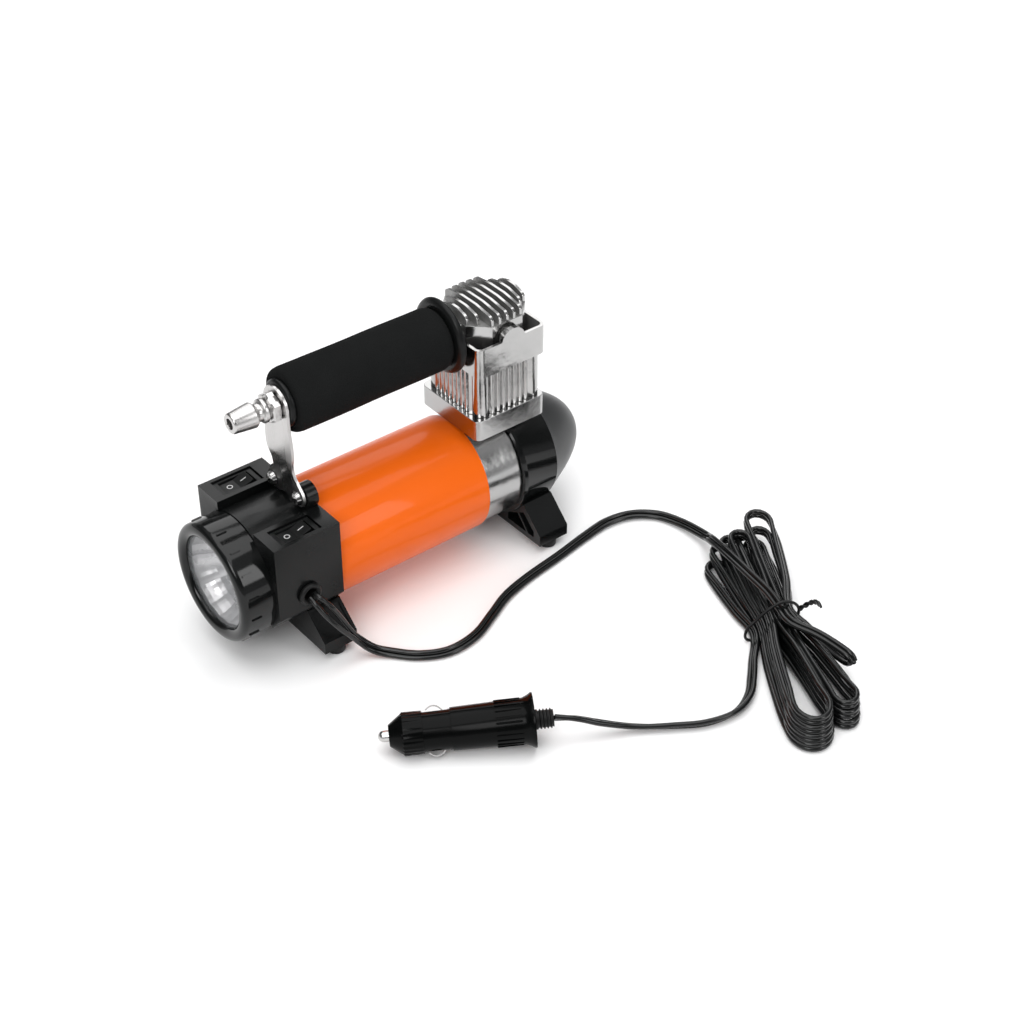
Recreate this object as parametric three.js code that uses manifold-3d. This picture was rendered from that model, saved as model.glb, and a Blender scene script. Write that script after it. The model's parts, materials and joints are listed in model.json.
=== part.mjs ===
// Portable 12 V tire inflator: a motor in a painted sleeve, a lamp and two switches in front,
// a chromed crankcase with an upright finned cylinder, a carrying handle that is also the air pipe,
// and a flat twin lead that ends in a vehicle socket plug. Millimetres, +X to the domed rear end, +Z up.
import * as THREE from 'three';
import { mergeVertices } from 'three/addons/utils/BufferGeometryUtils.js';
import Module from 'manifold-3d';

const wasm = await Module();
wasm.setup();

// ---------- driving dimensions ----------
const GAP = 0.3;                    // left between neighbours that touch on the real object
const AXIS_Z = 42;                  // motor axis above the ground
const BEZEL_FRONT = -111.9;
const HOUSING_FRONT = -93.3;
const SLEEVE_FRONT = -57.1;
const SLEEVE_REAR = 35.6;
const BAND_FRONT = 57.2;
const BAND_REAR = 79.7;
const DOME_LENGTH = 32.2;
const SLEEVE_RADIUS = 31;
const HOUSING_RADIUS = 31.1;
const BAND_RADIUS = 31.2;
const CASE_RADIUS = 30;
const HANDLE_Z = 127;
const FOAM_RADIUS = 16.5;
const HEAD_X = 56.2;                // axis of the upright cylinder
const FLANGE_TOP = 85;
const TRAY_BOTTOM = 110.3;
const TRAY_TOP = 126.3;
const HEAD_TOP = 135;
const BORE_RADIUS = 12.5;
const BOLT_X = 16.2;
const BOLT_Y = 17.4;
const STROKE = 14;
const ROD_LENGTH = 38.9;
const GEAR_MODULE = 0.6;
const PINION_TEETH = 12;
const GEAR_TEETH = 36;
const GEAR_Z = AXIS_Z + GEAR_MODULE * (PINION_TEETH + GEAR_TEETH) / 2;
const CRANK_PIN_Z = GEAR_Z - STROKE / 2;
const WRIST_PIN_Z = CRANK_PIN_Z + ROD_LENGTH;
const FOOT_HEIGHT = 5;              // underside of the moulded feet above the ground
const CORD_RADIUS = 2.2;

// ---------- finishes ----------
const finish = (color, roughness, metalness) => (
  new THREE.MeshStandardMaterial({ color, roughness, metalness })
);
const FINISH = {
  glossBlack: finish(0x15171a, 0.25, 0),
  satinBlack: finish(0x202224, 0.5, 0),
  greyBlack: finish(0x4a4c4e, 0.45, 0),
  orange: finish(0xf0651c, 0.3, 0),
  chrome: finish(0xc9c9cc, 0.18, 1),
  steel: finish(0xb4b4b6, 0.3, 1),
  darkSteel: finish(0x55585c, 0.45, 1),
  mirror: finish(0xdfe3e6, 0.1, 1),
  clear: finish(0xe8f0f4, 0.05, 0),
  foam: finish(0x141516, 0.95, 0),
  rubber: finish(0x17181a, 0.8, 0),
  brass: finish(0xb98d3f, 0.3, 1),
  copper: finish(0xa5562c, 0.35, 1),
  graphite: finish(0x2c2c2e, 0.7, 0),
  ptfe: finish(0xd9d4c4, 0.6, 0),
  board: finish(0xd8d8d2, 0.5, 0),
  cord: finish(0x151618, 0.4, 0),
};

// ---------- solids ----------
// Turns a three.js geometry into a solid: shared corners merged, slivers dropped, faces turned outward.
function solid(geometry) {
  const bare = geometry.clone();
  bare.deleteAttribute('normal');
  bare.deleteAttribute('uv');
  const merged = mergeVertices(bare, 1e-4);
  const place = merged.attributes.position;
  const corner = merged.index.array;
  const triangles = [];
  let volume = 0;
  const [a, b, c] = [new THREE.Vector3(), new THREE.Vector3(), new THREE.Vector3()];
  for (let i = 0; i < corner.length; i += 3) {
    const [p, q, r] = [corner[i], corner[i + 1], corner[i + 2]];
    if (p === q || q === r || r === p) continue;
    triangles.push([p, q, r]);
    a.fromBufferAttribute(place, p);
    b.fromBufferAttribute(place, q);
    c.fromBufferAttribute(place, r);
    volume += a.dot(b.cross(c));
  }
  const facing = volume < 0 ? triangles.map(([p, q, r]) => [p, r, q]) : triangles;
  return new wasm.Manifold(new wasm.Mesh({
    numProp: 3,
    vertProperties: new Float32Array(place.array),
    triVerts: new Uint32Array(facing.flat()),
  }));
}

function geometryOf(body) {
  const mesh = body.getMesh();
  const geometry = new THREE.BufferGeometry();
  geometry.setAttribute('position', new THREE.BufferAttribute(new Float32Array(mesh.vertProperties), 3));
  geometry.setIndex(new THREE.BufferAttribute(new Uint32Array(mesh.triVerts), 1));
  geometry.computeVertexNormals();
  return geometry;
}

const union = (...bodies) => bodies.reduce((whole, next) => whole.add(next));
const cut = (body, ...tools) => tools.reduce((whole, tool) => whole.subtract(tool), body);

function box(x0, x1, y0, y1, z0, z1) {
  const geometry = new THREE.BoxGeometry(x1 - x0, y1 - y0, z1 - z0);
  return solid(geometry.translate((x0 + x1) / 2, (y0 + y1) / 2, (z0 + z1) / 2));
}

// A turned body. The outline lists [distance along the axis, radius]; a closed ring repeats its first point.
function turned(axis, centre, outline, segments = 28) {
  const points = outline.map(([along, radius]) => new THREE.Vector2(radius, along));
  const geometry = new THREE.LatheGeometry(points, segments);
  if (axis === 'x') geometry.rotateZ(-Math.PI / 2);
  if (axis === 'z') geometry.rotateX(Math.PI / 2);
  return solid(geometry.translate(...centre));
}

function rod(axis, centre, from, to, radius, segments = 18) {
  return turned(axis, centre, [[from, 0], [from, radius], [to, radius], [to, 0]], segments);
}

function ring(axis, centre, from, to, outer, inner, segments = 28) {
  const outline = [[from, inner], [from, outer], [to, outer], [to, inner], [from, inner]];
  return turned(axis, centre, outline, segments);
}

// Plates cut from a flat outline: outline (y, z) pushed along x, (x, z) along y, or (x, y) along z.
const outlineOf = (points) => new THREE.Shape(points.map(([u, v]) => new THREE.Vector2(u, v)));

function plate(axis, shape, from, to, curveSegments = 4) {
  const geometry = new THREE.ExtrudeGeometry(shape, { depth: to - from, bevelEnabled: false, curveSegments });
  const [x, y, z] = [[1, 0, 0], [0, 1, 0], [0, 0, 1]].map((v) => new THREE.Vector3(...v));
  const turn = new THREE.Matrix4();
  if (axis === 'x') turn.makeBasis(y, z, x).setPosition(from, 0, 0);
  if (axis === 'y') turn.makeBasis(x, z, y.clone().negate()).setPosition(0, to, 0);
  if (axis === 'z') turn.setPosition(0, 0, from);
  return solid(geometry.applyMatrix4(turn));
}

function roundedRectangle(halfX, halfY, radius, centreX = 0, centreY = 0) {
  const shape = new THREE.Shape();
  const corners = [[1, -1, -90], [1, 1, 0], [-1, 1, 90], [-1, -1, 180]];
  for (const [signX, signY, start] of corners) {
    const angle = THREE.MathUtils.degToRad(start);
    const x = centreX + signX * (halfX - radius);
    const y = centreY + signY * (halfY - radius);
    shape.absarc(x, y, radius, angle, angle + Math.PI / 2, false);
  }
  return shape;
}

const model = new THREE.Group();

function place(parent, name, body, material) {
  const mesh = new THREE.Mesh(geometryOf(body), material);
  mesh.name = name;
  parent.add(mesh);
}

const add = (name, body, material) => place(model, name, body, material);

const ON_AXIS = [0, 0, AXIS_Z];
const ON_HANDLE = [0, 0, HANDLE_Z];
const ON_CYLINDER = [HEAD_X, 0, 0];
const SIDES = [['left', 1], ['right', -1]];

// ---------- lamp ----------
const LENS_RADIUS = 23.9;
const LENS_SEAT = -109.2;
const REFLECTOR_REAR = -93;

function bezelBody() {
  const lip = [];
  const LIP_STEPS = 5;
  for (let i = 0; i <= LIP_STEPS; i += 1) {
    const angle = Math.PI * i / LIP_STEPS;
    const half = (HOUSING_RADIUS - LENS_RADIUS) / 2;
    lip.push([BEZEL_FRONT + 3 - 3 * Math.sin(angle), HOUSING_RADIUS - half + half * Math.cos(angle)]);
  }
  const rear = HOUSING_FRONT - GAP;
  const seat = 27.5;
  const outline = [
    [rear, seat], [rear, HOUSING_RADIUS], ...lip, [LENS_SEAT, LENS_RADIUS], [LENS_SEAT, seat], [rear, seat],
  ];
  return turned('x', ON_AXIS, outline, 32);
}

function reflectorBody() {
  const BOWL_STEPS = 4;
  const front = LENS_SEAT + 2.1;
  const inside = [];
  for (let i = 0; i <= BOWL_STEPS; i += 1) {
    const along = i / BOWL_STEPS;
    inside.push([front + (REFLECTOR_REAR - front) * along, 10.5 + 13.2 * Math.sqrt(1 - along ** 1.4)]);
  }
  const outside = inside.map(([x, radius]) => [x, radius + 1.2]).reverse();
  return turned('x', ON_AXIS, [[front, 26.6], ...inside, ...outside, [front + 1.2, 26.6], [front, 26.6]], 22);
}

function ledBoardBody() {
  const boardFront = REFLECTOR_REAR + GAP;
  const LED_COUNT = 5;
  const LED_CIRCLE = 6.2;
  let body = rod('x', ON_AXIS, boardFront, boardFront + 1.6, 13, 24);
  for (let i = 0; i < LED_COUNT; i += 1) {
    const angle = Math.PI / 2 + 2 * Math.PI * i / LED_COUNT;
    const centre = [0, LED_CIRCLE * Math.cos(angle), AXIS_Z + LED_CIRCLE * Math.sin(angle)];
    const tip = boardFront - 7.5;
    const foot = boardFront + 0.5;
    const outline = [[tip, 0], [tip + 0.8, 1.6], [tip + 2.4, 2.4], [foot, 2.4], [foot, 0]];
    body = union(body, turned('x', centre, outline, 12));
  }
  return body;
}

add('lamp_bezel', bezelBody(), FINISH.glossBlack);
add('lamp_lens', rod('x', ON_AXIS, LENS_SEAT + GAP, LENS_SEAT + 1.8, 26.6, 32), FINISH.clear);
add('lamp_reflector', reflectorBody(), FINISH.mirror);
add('led_board', ledBoardBody(), FINISH.board);

// ---------- front housing with its switch boxes and feet ----------
const BOX = { x0: -94.15, x1: SLEEVE_FRONT, inner: 15.95, outer: 33.6, top: AXIS_Z + 31.6 };
const POCKET = { x0: -88.4, x1: -65.6, inner: 18.6, outer: 31.4 };
const SCREW = { y: 10.6, z: AXIS_Z + 36.2 };
const PLATE_X = -64.9;              // front face of the handle bracket's foot
const PLATE_LEAN = 2.1;             // how much further forward its upper part stands
const GLAND = { x: -76.9, z: AXIS_Z - 1.5 };
const FRONT_FOOT = [-74.8, -55.9];
const REAR_FOOT = [60.2, 78.6];
const FOOT_REACH = 41;
const FOOT_EDGE = 11.3;
const TIP_Y = 36;

const footOutline = (top) => outlineOf([
  [-FOOT_REACH, FOOT_HEIGHT], [FOOT_REACH, FOOT_HEIGHT], [FOOT_REACH, FOOT_EDGE],
  [27.3, top], [-27.3, top], [-FOOT_REACH, FOOT_EDGE],
]);

function footHoles(x) {
  return SIDES.map(([, side]) => rod('z', [x, side * TIP_Y, 0], 0, FOOT_HEIGHT + 3, 2.3, 10));
}

function boxOutline(side) {
  const points = [
    [BOX.inner, BOX.top], [BOX.outer, BOX.top], [BOX.outer, 31.2], [26, 22.6], [12, 30], [BOX.inner, 55],
  ];
  return outlineOf(points.map(([y, z]) => [side * y, z]));
}

function frontHousingBody() {
  const tube = rod('x', ON_AXIS, HOUSING_FRONT, SLEEVE_FRONT, HOUSING_RADIUS, 32);
  const spigot = ring('x', ON_AXIS, HOUSING_FRONT - 4.7, HOUSING_FRONT + 2, 27.2, 25);
  const base = plate('x', footOutline(23.2), ...FRONT_FOOT);
  const boxes = SIDES.map(([, side]) => plate('x', boxOutline(side), BOX.x0, BOX.x1));
  const bosses = SIDES.map(([, side]) => {
    const boss = rod('x', [0, side * SCREW.y, SCREW.z], PLATE_X + 2, SLEEVE_FRONT, 6.4, 16);
    const web = box(PLATE_X + 2, SLEEVE_FRONT, side * SCREW.y - 5, side * SCREW.y + 5, AXIS_Z + 20, SCREW.z);
    return union(boss, web);
  });
  let body = union(tube, base, ...boxes, ...bosses);
  body = cut(
    body,
    rod('x', ON_AXIS, BEZEL_FRONT, HOUSING_FRONT, HOUSING_RADIUS + GAP, 32),
    rod('x', ON_AXIS, SLEEVE_FRONT, 0, SLEEVE_RADIUS + GAP, 32),
    rod('x', ON_AXIS, HOUSING_FRONT - 1, SLEEVE_FRONT - 3, 28.2, 36),
    rod('x', ON_AXIS, SLEEVE_FRONT - 4, SLEEVE_FRONT + 1, 9),
    rod('y', [GLAND.x, 0, GLAND.z], -BOX.outer - 1, -24, 4.8, 24),
    ...footHoles((FRONT_FOOT[0] + FRONT_FOOT[1]) / 2),
  );
  body = union(body, spigot, ring('x', ON_AXIS, HOUSING_FRONT, HOUSING_FRONT + 2, 28.6, 25));
  for (const [, side] of SIDES) {
    const [y0, y1] = [side * POCKET.inner, side * POCKET.outer].sort((p, q) => p - q);
    body = cut(
      body,
      box(POCKET.x0, POCKET.x1, y0, y1, 52, BOX.top + 1),
      rod('x', [0, side * SCREW.y, SCREW.z], PLATE_X, PLATE_X + 7.6, 1.9, 10),
      footPanel(side),
    );
  }
  return body;
}

// The sunk panel in the sloping outer face of a front foot.
function footPanel(side) {
  const points = [[side * 29.5, 22.6], [side * 40.5, 13.1], [side * 39.2, 11.6], [side * 28.2, 21.1]];
  return plate('x', outlineOf(points), FRONT_FOOT[0] + 1.6, FRONT_FOOT[1] - 1.6);
}

add('front_housing', frontHousingBody(), FINISH.satinBlack);

// ---------- rocker switches ----------
const ROCKER = { x: -77, halfLength: 7.4, halfWidth: 4.3, pivotZ: BOX.top - 4.4, tilt: -9 };

function switchBody(side) {
  const centreY = side * (POCKET.inner + POCKET.outer) / 2;
  const halfY = (POCKET.outer - POCKET.inner) / 2 - GAP;
  const top = BOX.top - 1;
  const shell = box(POCKET.x0 + GAP, POCKET.x1 - GAP, centreY - halfY, centreY + halfY, 56, top);
  const wellLength = ROCKER.halfLength + 0.9;
  const wellWidth = ROCKER.halfWidth + 0.5;
  return cut(
    shell,
    box(
      ROCKER.x - wellLength, ROCKER.x + wellLength,
      centreY - wellWidth, centreY + wellWidth, top - 8, top + 1,
    ),
  );
}

// The cap is a shallow V in side view, so that one half stands up while the other is pressed in.
function rockerBody(side) {
  const centreY = side * (POCKET.inner + POCKET.outer) / 2;
  const { halfLength, halfWidth } = ROCKER;
  const outline = outlineOf([
    [-halfLength, 1.2], [-halfLength, 3.6], [0, 2.5], [halfLength, 3.6],
    [halfLength, 1.2], [1.6, -2.2], [-1.6, -2.2],
  ]);
  const cap = plate('y', outline, centreY - halfWidth, centreY + halfWidth);
  return cap.rotate([0, ROCKER.tilt, 0]).translate([ROCKER.x, 0, ROCKER.pivotZ]);
}

for (const [name, side] of SIDES) {
  add(`switch_body_${name}`, switchBody(side), FINISH.satinBlack);
  add(`rocker_${name}`, rockerBody(side), FINISH.satinBlack);
}

// ---------- handle bracket and its screws ----------
function bracketBody() {
  const NECK_Z = AXIS_Z + 50;
  const outline = new THREE.Shape();
  outline.moveTo(-15.2, SCREW.z + 1.5);
  outline.absarc(-SCREW.y, SCREW.z, 4.7, Math.PI * 0.9, Math.PI * 1.5, false);
  outline.lineTo(-6, SCREW.z - 4.7);
  outline.quadraticCurveTo(0, SCREW.z - 1, 6, SCREW.z - 4.7);
  outline.absarc(SCREW.y, SCREW.z, 4.7, -Math.PI / 2, Math.PI * 0.1, false);
  outline.bezierCurveTo(14.5, SCREW.z + 6, 8.4, NECK_Z - 8, 8.6, NECK_Z);
  outline.bezierCurveTo(8.8, NECK_Z + 5, 11.4, NECK_Z + 6, 11.2, NECK_Z + 13);
  outline.bezierCurveTo(11, NECK_Z + 20, 9.5, NECK_Z + 22, 9.8, HANDLE_Z - 2);
  outline.absarc(0, HANDLE_Z, 10, -0.2, Math.PI + 0.2, false);
  outline.bezierCurveTo(-9.5, NECK_Z + 22, -11, NECK_Z + 20, -11.2, NECK_Z + 13);
  outline.bezierCurveTo(-11.4, NECK_Z + 6, -8.8, NECK_Z + 5, -8.6, NECK_Z);
  outline.bezierCurveTo(-8.4, NECK_Z - 8, -14.5, SCREW.z + 6, -15.2, SCREW.z + 1.5);
  const front = plate('x', outline, -75, -60, 5);
  const thick = 1.5;
  const bend = (offset) => [[0, 60], [0, SCREW.z + 8], [-PLATE_LEAN, NECK_Z + 6], [-PLATE_LEAN, 140]]
    .map(([x, z]) => [PLATE_X + x + offset, z]);
  const side = plate('y', outlineOf([...bend(0), ...bend(thick).reverse()]), -20, 20);
  return cut(
    front.intersect(side),
    rod('x', ON_HANDLE, -75, -60, 5.4, 24),
    ...SIDES.map(([, sign]) => rod('x', [0, sign * SCREW.y, SCREW.z], -75, -60, 2, 16)),
  );
}

function bracketScrewBody(side) {
  const outline = [
    [-3.1, 0], [-2.9, 1.6], [-2.2, 3], [-GAP, 3.7], [-GAP, 1.5], [7, 1.5], [7, 0],
  ];
  const driven = turned('x', [PLATE_X, side * SCREW.y, SCREW.z], outline, 14);
  const slot = (dy, dz) => box(
    PLATE_X - 4, PLATE_X - 1.9, side * SCREW.y - dy, side * SCREW.y + dy, SCREW.z - dz, SCREW.z + dz,
  );
  return cut(driven, slot(2, 0.45), slot(0.45, 2));
}

add('handle_bracket', bracketBody(), FINISH.steel);
for (const [name, side] of SIDES) add(`bracket_screw_${name}`, bracketScrewBody(side), FINISH.chrome);

// ---------- cord gland ----------
const GLAND_FACE = -BOX.outer - 2.6;
function glandBody() {
  const outline = [
    [-25, 3.1], [-25, 4.5], [-BOX.outer - GAP, 4.5], [-BOX.outer - GAP, 6.1], [GLAND_FACE + 0.8, 6.1],
    [GLAND_FACE, 5.2], [GLAND_FACE, 4], [GLAND_FACE + 1.6, 3.1], [-25, 3.1],
  ];
  return turned('y', [GLAND.x, 0, GLAND.z], outline, 24);
}
add('cord_gland', glandBody(), FINISH.rubber);

// ---------- handle: air pipe, foam grip, end pieces and quick-connect nipple ----------
const GRIP = { front: -62.3, rear: 27 };
const HANDLE_BORE = 5.3;            // what slides over the 10 mm pipe
const PIPE_FRONT = -70.7;
add('air_pipe', ring('x', ON_HANDLE, PIPE_FRONT, 35.7, 5, 3, 24), FINISH.steel);

function foamBody() {
  const { front, rear } = GRIP;
  const outline = [
    [front, HANDLE_BORE], [front, 13.4], [front + 1.5, 15.2], [front + 4.5, FOAM_RADIUS],
    [rear - 2, FOAM_RADIUS - 0.7], [rear, FOAM_RADIUS - 2], [rear, HANDLE_BORE], [front, HANDLE_BORE],
  ];
  return turned('x', ON_HANDLE, outline, 32);
}
add('foam_grip', foamBody(), FINISH.foam);
const WASHER_REAR = GRIP.front - GAP;
add('grip_washer', turned('x', ON_HANDLE, [
  [WASHER_REAR - 2.6, HANDLE_BORE], [WASHER_REAR - 2.6, 11], [WASHER_REAR - 1.8, 11.9], [WASHER_REAR, 12.1],
  [WASHER_REAR, HANDLE_BORE], [WASHER_REAR - 2.6, HANDLE_BORE],
], 32), FINISH.satinBlack);
const DISC_FRONT = GRIP.rear + GAP;
add('grip_rear_flange', turned('x', ON_HANDLE, [
  [DISC_FRONT, HANDLE_BORE], [DISC_FRONT, 17.4], [DISC_FRONT + 1, 19], [DISC_FRONT + 2.6, 19.8],
  [DISC_FRONT + 3.6, 19.6], [DISC_FRONT + 3.6, HANDLE_BORE], [DISC_FRONT, HANDLE_BORE],
], 36), FINISH.satinBlack);

// The nipple screws over the pipe's end and clamps the bracket with its hexagon.
const NIPPLE_TIP = -91.9;
const NIPPLE_BORE = 2.7;
const HEX_REAR = PLATE_X - PLATE_LEAN - GAP;
const HEX_FRONT = HEX_REAR - 4.7;
function nippleBody() {
  const outline = [
    [NIPPLE_TIP, NIPPLE_BORE], [NIPPLE_TIP, 4.7], [NIPPLE_TIP + 0.7, 5.2], [NIPPLE_TIP + 10.2, 6.2],
    [NIPPLE_TIP + 12, 6.4], [NIPPLE_TIP + 12.8, 5.9], [NIPPLE_TIP + 13.8, 4.6], [NIPPLE_TIP + 16, 4.6],
    [NIPPLE_TIP + 16.8, 6.1], [NIPPLE_TIP + 18.6, 6.1], [NIPPLE_TIP + 19.2, 5.2], [HEX_FRONT, 5.2],
    [HEX_FRONT, 6.4], [HEX_REAR, 6.4], [HEX_REAR, HANDLE_BORE], [PIPE_FRONT - GAP, HANDLE_BORE],
    [PIPE_FRONT - GAP, NIPPLE_BORE], [NIPPLE_TIP, NIPPLE_BORE],
  ];
  const HEX_CORNER = 8.1;
  const hexagon = new THREE.Shape();
  for (let i = 0; i < 6; i += 1) {
    const angle = Math.PI * (i + 0.5) / 3;
    const point = [HEX_CORNER * Math.cos(angle), HANDLE_Z + HEX_CORNER * Math.sin(angle)];
    if (i === 0) hexagon.moveTo(...point);
    else hexagon.lineTo(...point);
  }
  const nut = cut(plate('x', hexagon, HEX_FRONT, HEX_REAR), rod('x', ON_HANDLE, -75, -60, 6, 20));
  return union(turned('x', ON_HANDLE, outline, 20), nut);
}
add('air_nipple', nippleBody(), FINISH.chrome);

// ---------- motor ----------
const sleeveBody = ring('x', ON_AXIS, SLEEVE_FRONT + GAP, SLEEVE_REAR, SLEEVE_RADIUS, 29.5, 48);
add('motor_sleeve', sleeveBody, FINISH.orange);

const CAN = { front: -44, rear: 26, outer: 28.9, inner: 27.2 };
add('motor_can', turned('x', ON_AXIS, [
  [CAN.front, CAN.inner], [CAN.front, CAN.outer], [CAN.rear, CAN.outer], [CAN.rear, 9], [CAN.rear - 1.7, 9],
  [CAN.rear - 1.7, CAN.inner], [CAN.front, CAN.inner],
], 32), FINISH.darkSteel);

const BRUSH = { x0: -35.2, x1: -28.8, z: 2.6, y0: 8.4, y1: 16 };
const CAP_REAR = CAN.front - GAP;
function brushCapBody() {
  let body = ring('x', ON_AXIS, CAP_REAR - 4.4, CAP_REAR, CAN.outer, 6.8, 32);
  for (const [, side] of SIDES) {
    const [y0, y1] = [side * 9.6, side * 17.6].sort((p, q) => p - q);
    const guide = box(CAP_REAR - 1, BRUSH.x1 + 1.6, y0, y1, AXIS_Z - BRUSH.z - 1.6, AXIS_Z + BRUSH.z + 1.6);
    const [h0, h1] = [side * 5, side * 20].sort((p, q) => p - q);
    const hole = box(BRUSH.x0 - GAP, BRUSH.x1 + GAP, h0, h1, AXIS_Z - BRUSH.z - GAP, AXIS_Z + BRUSH.z + GAP);
    body = cut(union(body, guide), hole);
  }
  return body;
}
add('magnet_ring', ring('x', ON_AXIS, -25, 16, CAN.inner - GAP, 21.6, 32), FINISH.graphite);
add('brush_end_cap', brushCapBody(), FINISH.satinBlack);
for (const [name, side] of SIDES) {
  const [y0, y1] = [side * BRUSH.y0, side * BRUSH.y1].sort((p, q) => p - q);
  add(`brush_${name}`, box(BRUSH.x0, BRUSH.x1, y0, y1, AXIS_Z - BRUSH.z, AXIS_Z + BRUSH.z), FINISH.graphite);
}
add('bearing_front', ring('x', ON_AXIS, CAP_REAR - 4.2, CAP_REAR - 0.2, 6.5, 2.8, 24), FINISH.steel);
add('bearing_rear', ring('x', ON_AXIS, 31.3, 36.2, 6.5, 2.8, 24), FINISH.steel);

const PINION = [42.5, 47.7];
add('armature_shaft', turned('x', ON_AXIS, [
  [-55, 0], [-55, 2.5], [PINION[0] - GAP, 2.5], [PINION[0] - GAP, 1.5], [PINION[1], 1.5], [PINION[1], 0],
], 20), FINISH.steel);

function armatureBody() {
  const SLOTS = 12;
  const stack = rod('x', ON_AXIS, -20, 12, 20.8, 36);
  const slots = [];
  for (let i = 0; i < SLOTS; i += 1) {
    const slot = box(-21, 13, 11, 22, -1.3, 1.3);
    slots.push(slot.rotate([360 * (i + 0.5) / SLOTS, 0, 0]).translate([0, 0, AXIS_Z]));
  }
  const windings = turned('x', ON_AXIS, [
    [-25, 4], [-25.6, 9], [-24, 15], [-20, 17.4], [12, 17.4], [16, 15], [18, 9], [17.4, 4], [-25, 4],
  ], 18);
  return cut(union(cut(stack, ...slots), windings), rod('x', ON_AXIS, -30, 20, 2.8, 20));
}
add('armature_core', armatureBody(), FINISH.copper);
add('commutator', ring('x', ON_AXIS, -38, -26, 8, 2.8, 24), FINISH.copper);

// A spur gear's outline: straight flanks, thinner than half the pitch so that the pair runs free.
function gearOutline(teeth, centreZ, phase) {
  const pitch = GEAR_MODULE * teeth / 2;
  const root = pitch - 0.75;
  const tip = pitch + 0.5;
  const shape = new THREE.Shape();
  const step = 2 * Math.PI / teeth;
  for (let i = 0; i < teeth; i += 1) {
    const middle = phase + i * step;
    const flank = [[root, -0.58 / root], [tip, -0.24 / tip], [tip, 0.24 / tip], [root, 0.58 / root]];
    for (const [radius, turn] of flank) {
      const point = [radius * Math.cos(middle + turn), centreZ + radius * Math.sin(middle + turn)];
      if (i === 0 && turn === flank[0][1]) shape.moveTo(...point);
      else shape.lineTo(...point);
    }
  }
  return shape;
}

function pinionBody() {
  const teeth = plate('x', gearOutline(PINION_TEETH, AXIS_Z, Math.PI / 2), ...PINION);
  return cut(teeth, rod('x', ON_AXIS, 40, 50, 1.8, 16));
}
add('pinion_gear', pinionBody(), FINISH.brass);

// ---------- crank drive ----------
const ROD_FRONT = HEAD_X - 3;
function driveGearBody() {
  const centre = [0, 0, GEAR_Z];
  const blank = plate('x', gearOutline(GEAR_TEETH, GEAR_Z, -Math.PI / 2 + Math.PI / GEAR_TEETH), 43, 48);
  const weight = new THREE.Shape();
  weight.absarc(0, GEAR_Z, 9.8, 0, Math.PI, false);
  return union(
    blank,
    plate('x', weight, 47.5, 51.4, 16),
    rod('x', centre, 30, 44, 3, 20),
    rod('x', [0, 0, CRANK_PIN_Z], 47, ROD_FRONT - 0.5, 2.2, 16),
  );
}
add('drive_gear', driveGearBody(), FINISH.steel);

function connectingRodBody() {
  const shank = box(ROD_FRONT + 1, ROD_FRONT + 5, -2.5, 2.5, CRANK_PIN_Z, WRIST_PIN_Z);
  const bigEnd = rod('x', [0, 0, CRANK_PIN_Z], ROD_FRONT, ROD_FRONT + 6, 5, 28);
  const smallEnd = rod('x', [0, 0, WRIST_PIN_Z], ROD_FRONT, ROD_FRONT + 6, 3.9, 24);
  return cut(
    union(shank, bigEnd, smallEnd),
    rod('x', [0, 0, CRANK_PIN_Z], 40, 70, 2.6, 20),
    rod('x', [0, 0, WRIST_PIN_Z], 40, 70, 2.3, 20),
  );
}
add('connecting_rod', connectingRodBody(), FINISH.steel);

function pistonBody() {
  const [low, high] = [WRIST_PIN_Z - 6, WRIST_PIN_Z + 7];
  const groove = [WRIST_PIN_Z + 2.7, WRIST_PIN_Z + 5.9];
  const skirt = turned('z', ON_CYLINDER, [
    [low, 0], [low, 12.1], [groove[0], 12.1], [groove[0], 10.6], [groove[1], 10.6], [groove[1], 12.1],
    [high, 12.1], [high, 0],
  ], 28);
  return cut(
    skirt,
    box(HEAD_X - 4.2, HEAD_X + 4.2, -7.5, 7.5, low - 1, WRIST_PIN_Z + 4.6),
    rod('x', [0, 0, WRIST_PIN_Z], 40, 72, 2.3, 20),
  );
}
add('piston', pistonBody(), FINISH.steel);
add('piston_seal', ring('z', ON_CYLINDER, WRIST_PIN_Z + 3, WRIST_PIN_Z + 5.6, 12.35, 10.9, 28), FINISH.ptfe);
add('wrist_pin', rod('x', [0, 0, WRIST_PIN_Z], HEAD_X - 9.5, HEAD_X + 9.5, 2, 16), FINISH.steel);

// ---------- crankcase, barrel and head ----------
const boltHoles = (from, to, radius) => [1, -1].flatMap((signX) => [1, -1].map((signY) => (
  rod('z', [HEAD_X + signX * BOLT_X, signY * BOLT_Y, 0], from, to, radius, 8)
)));

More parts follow.
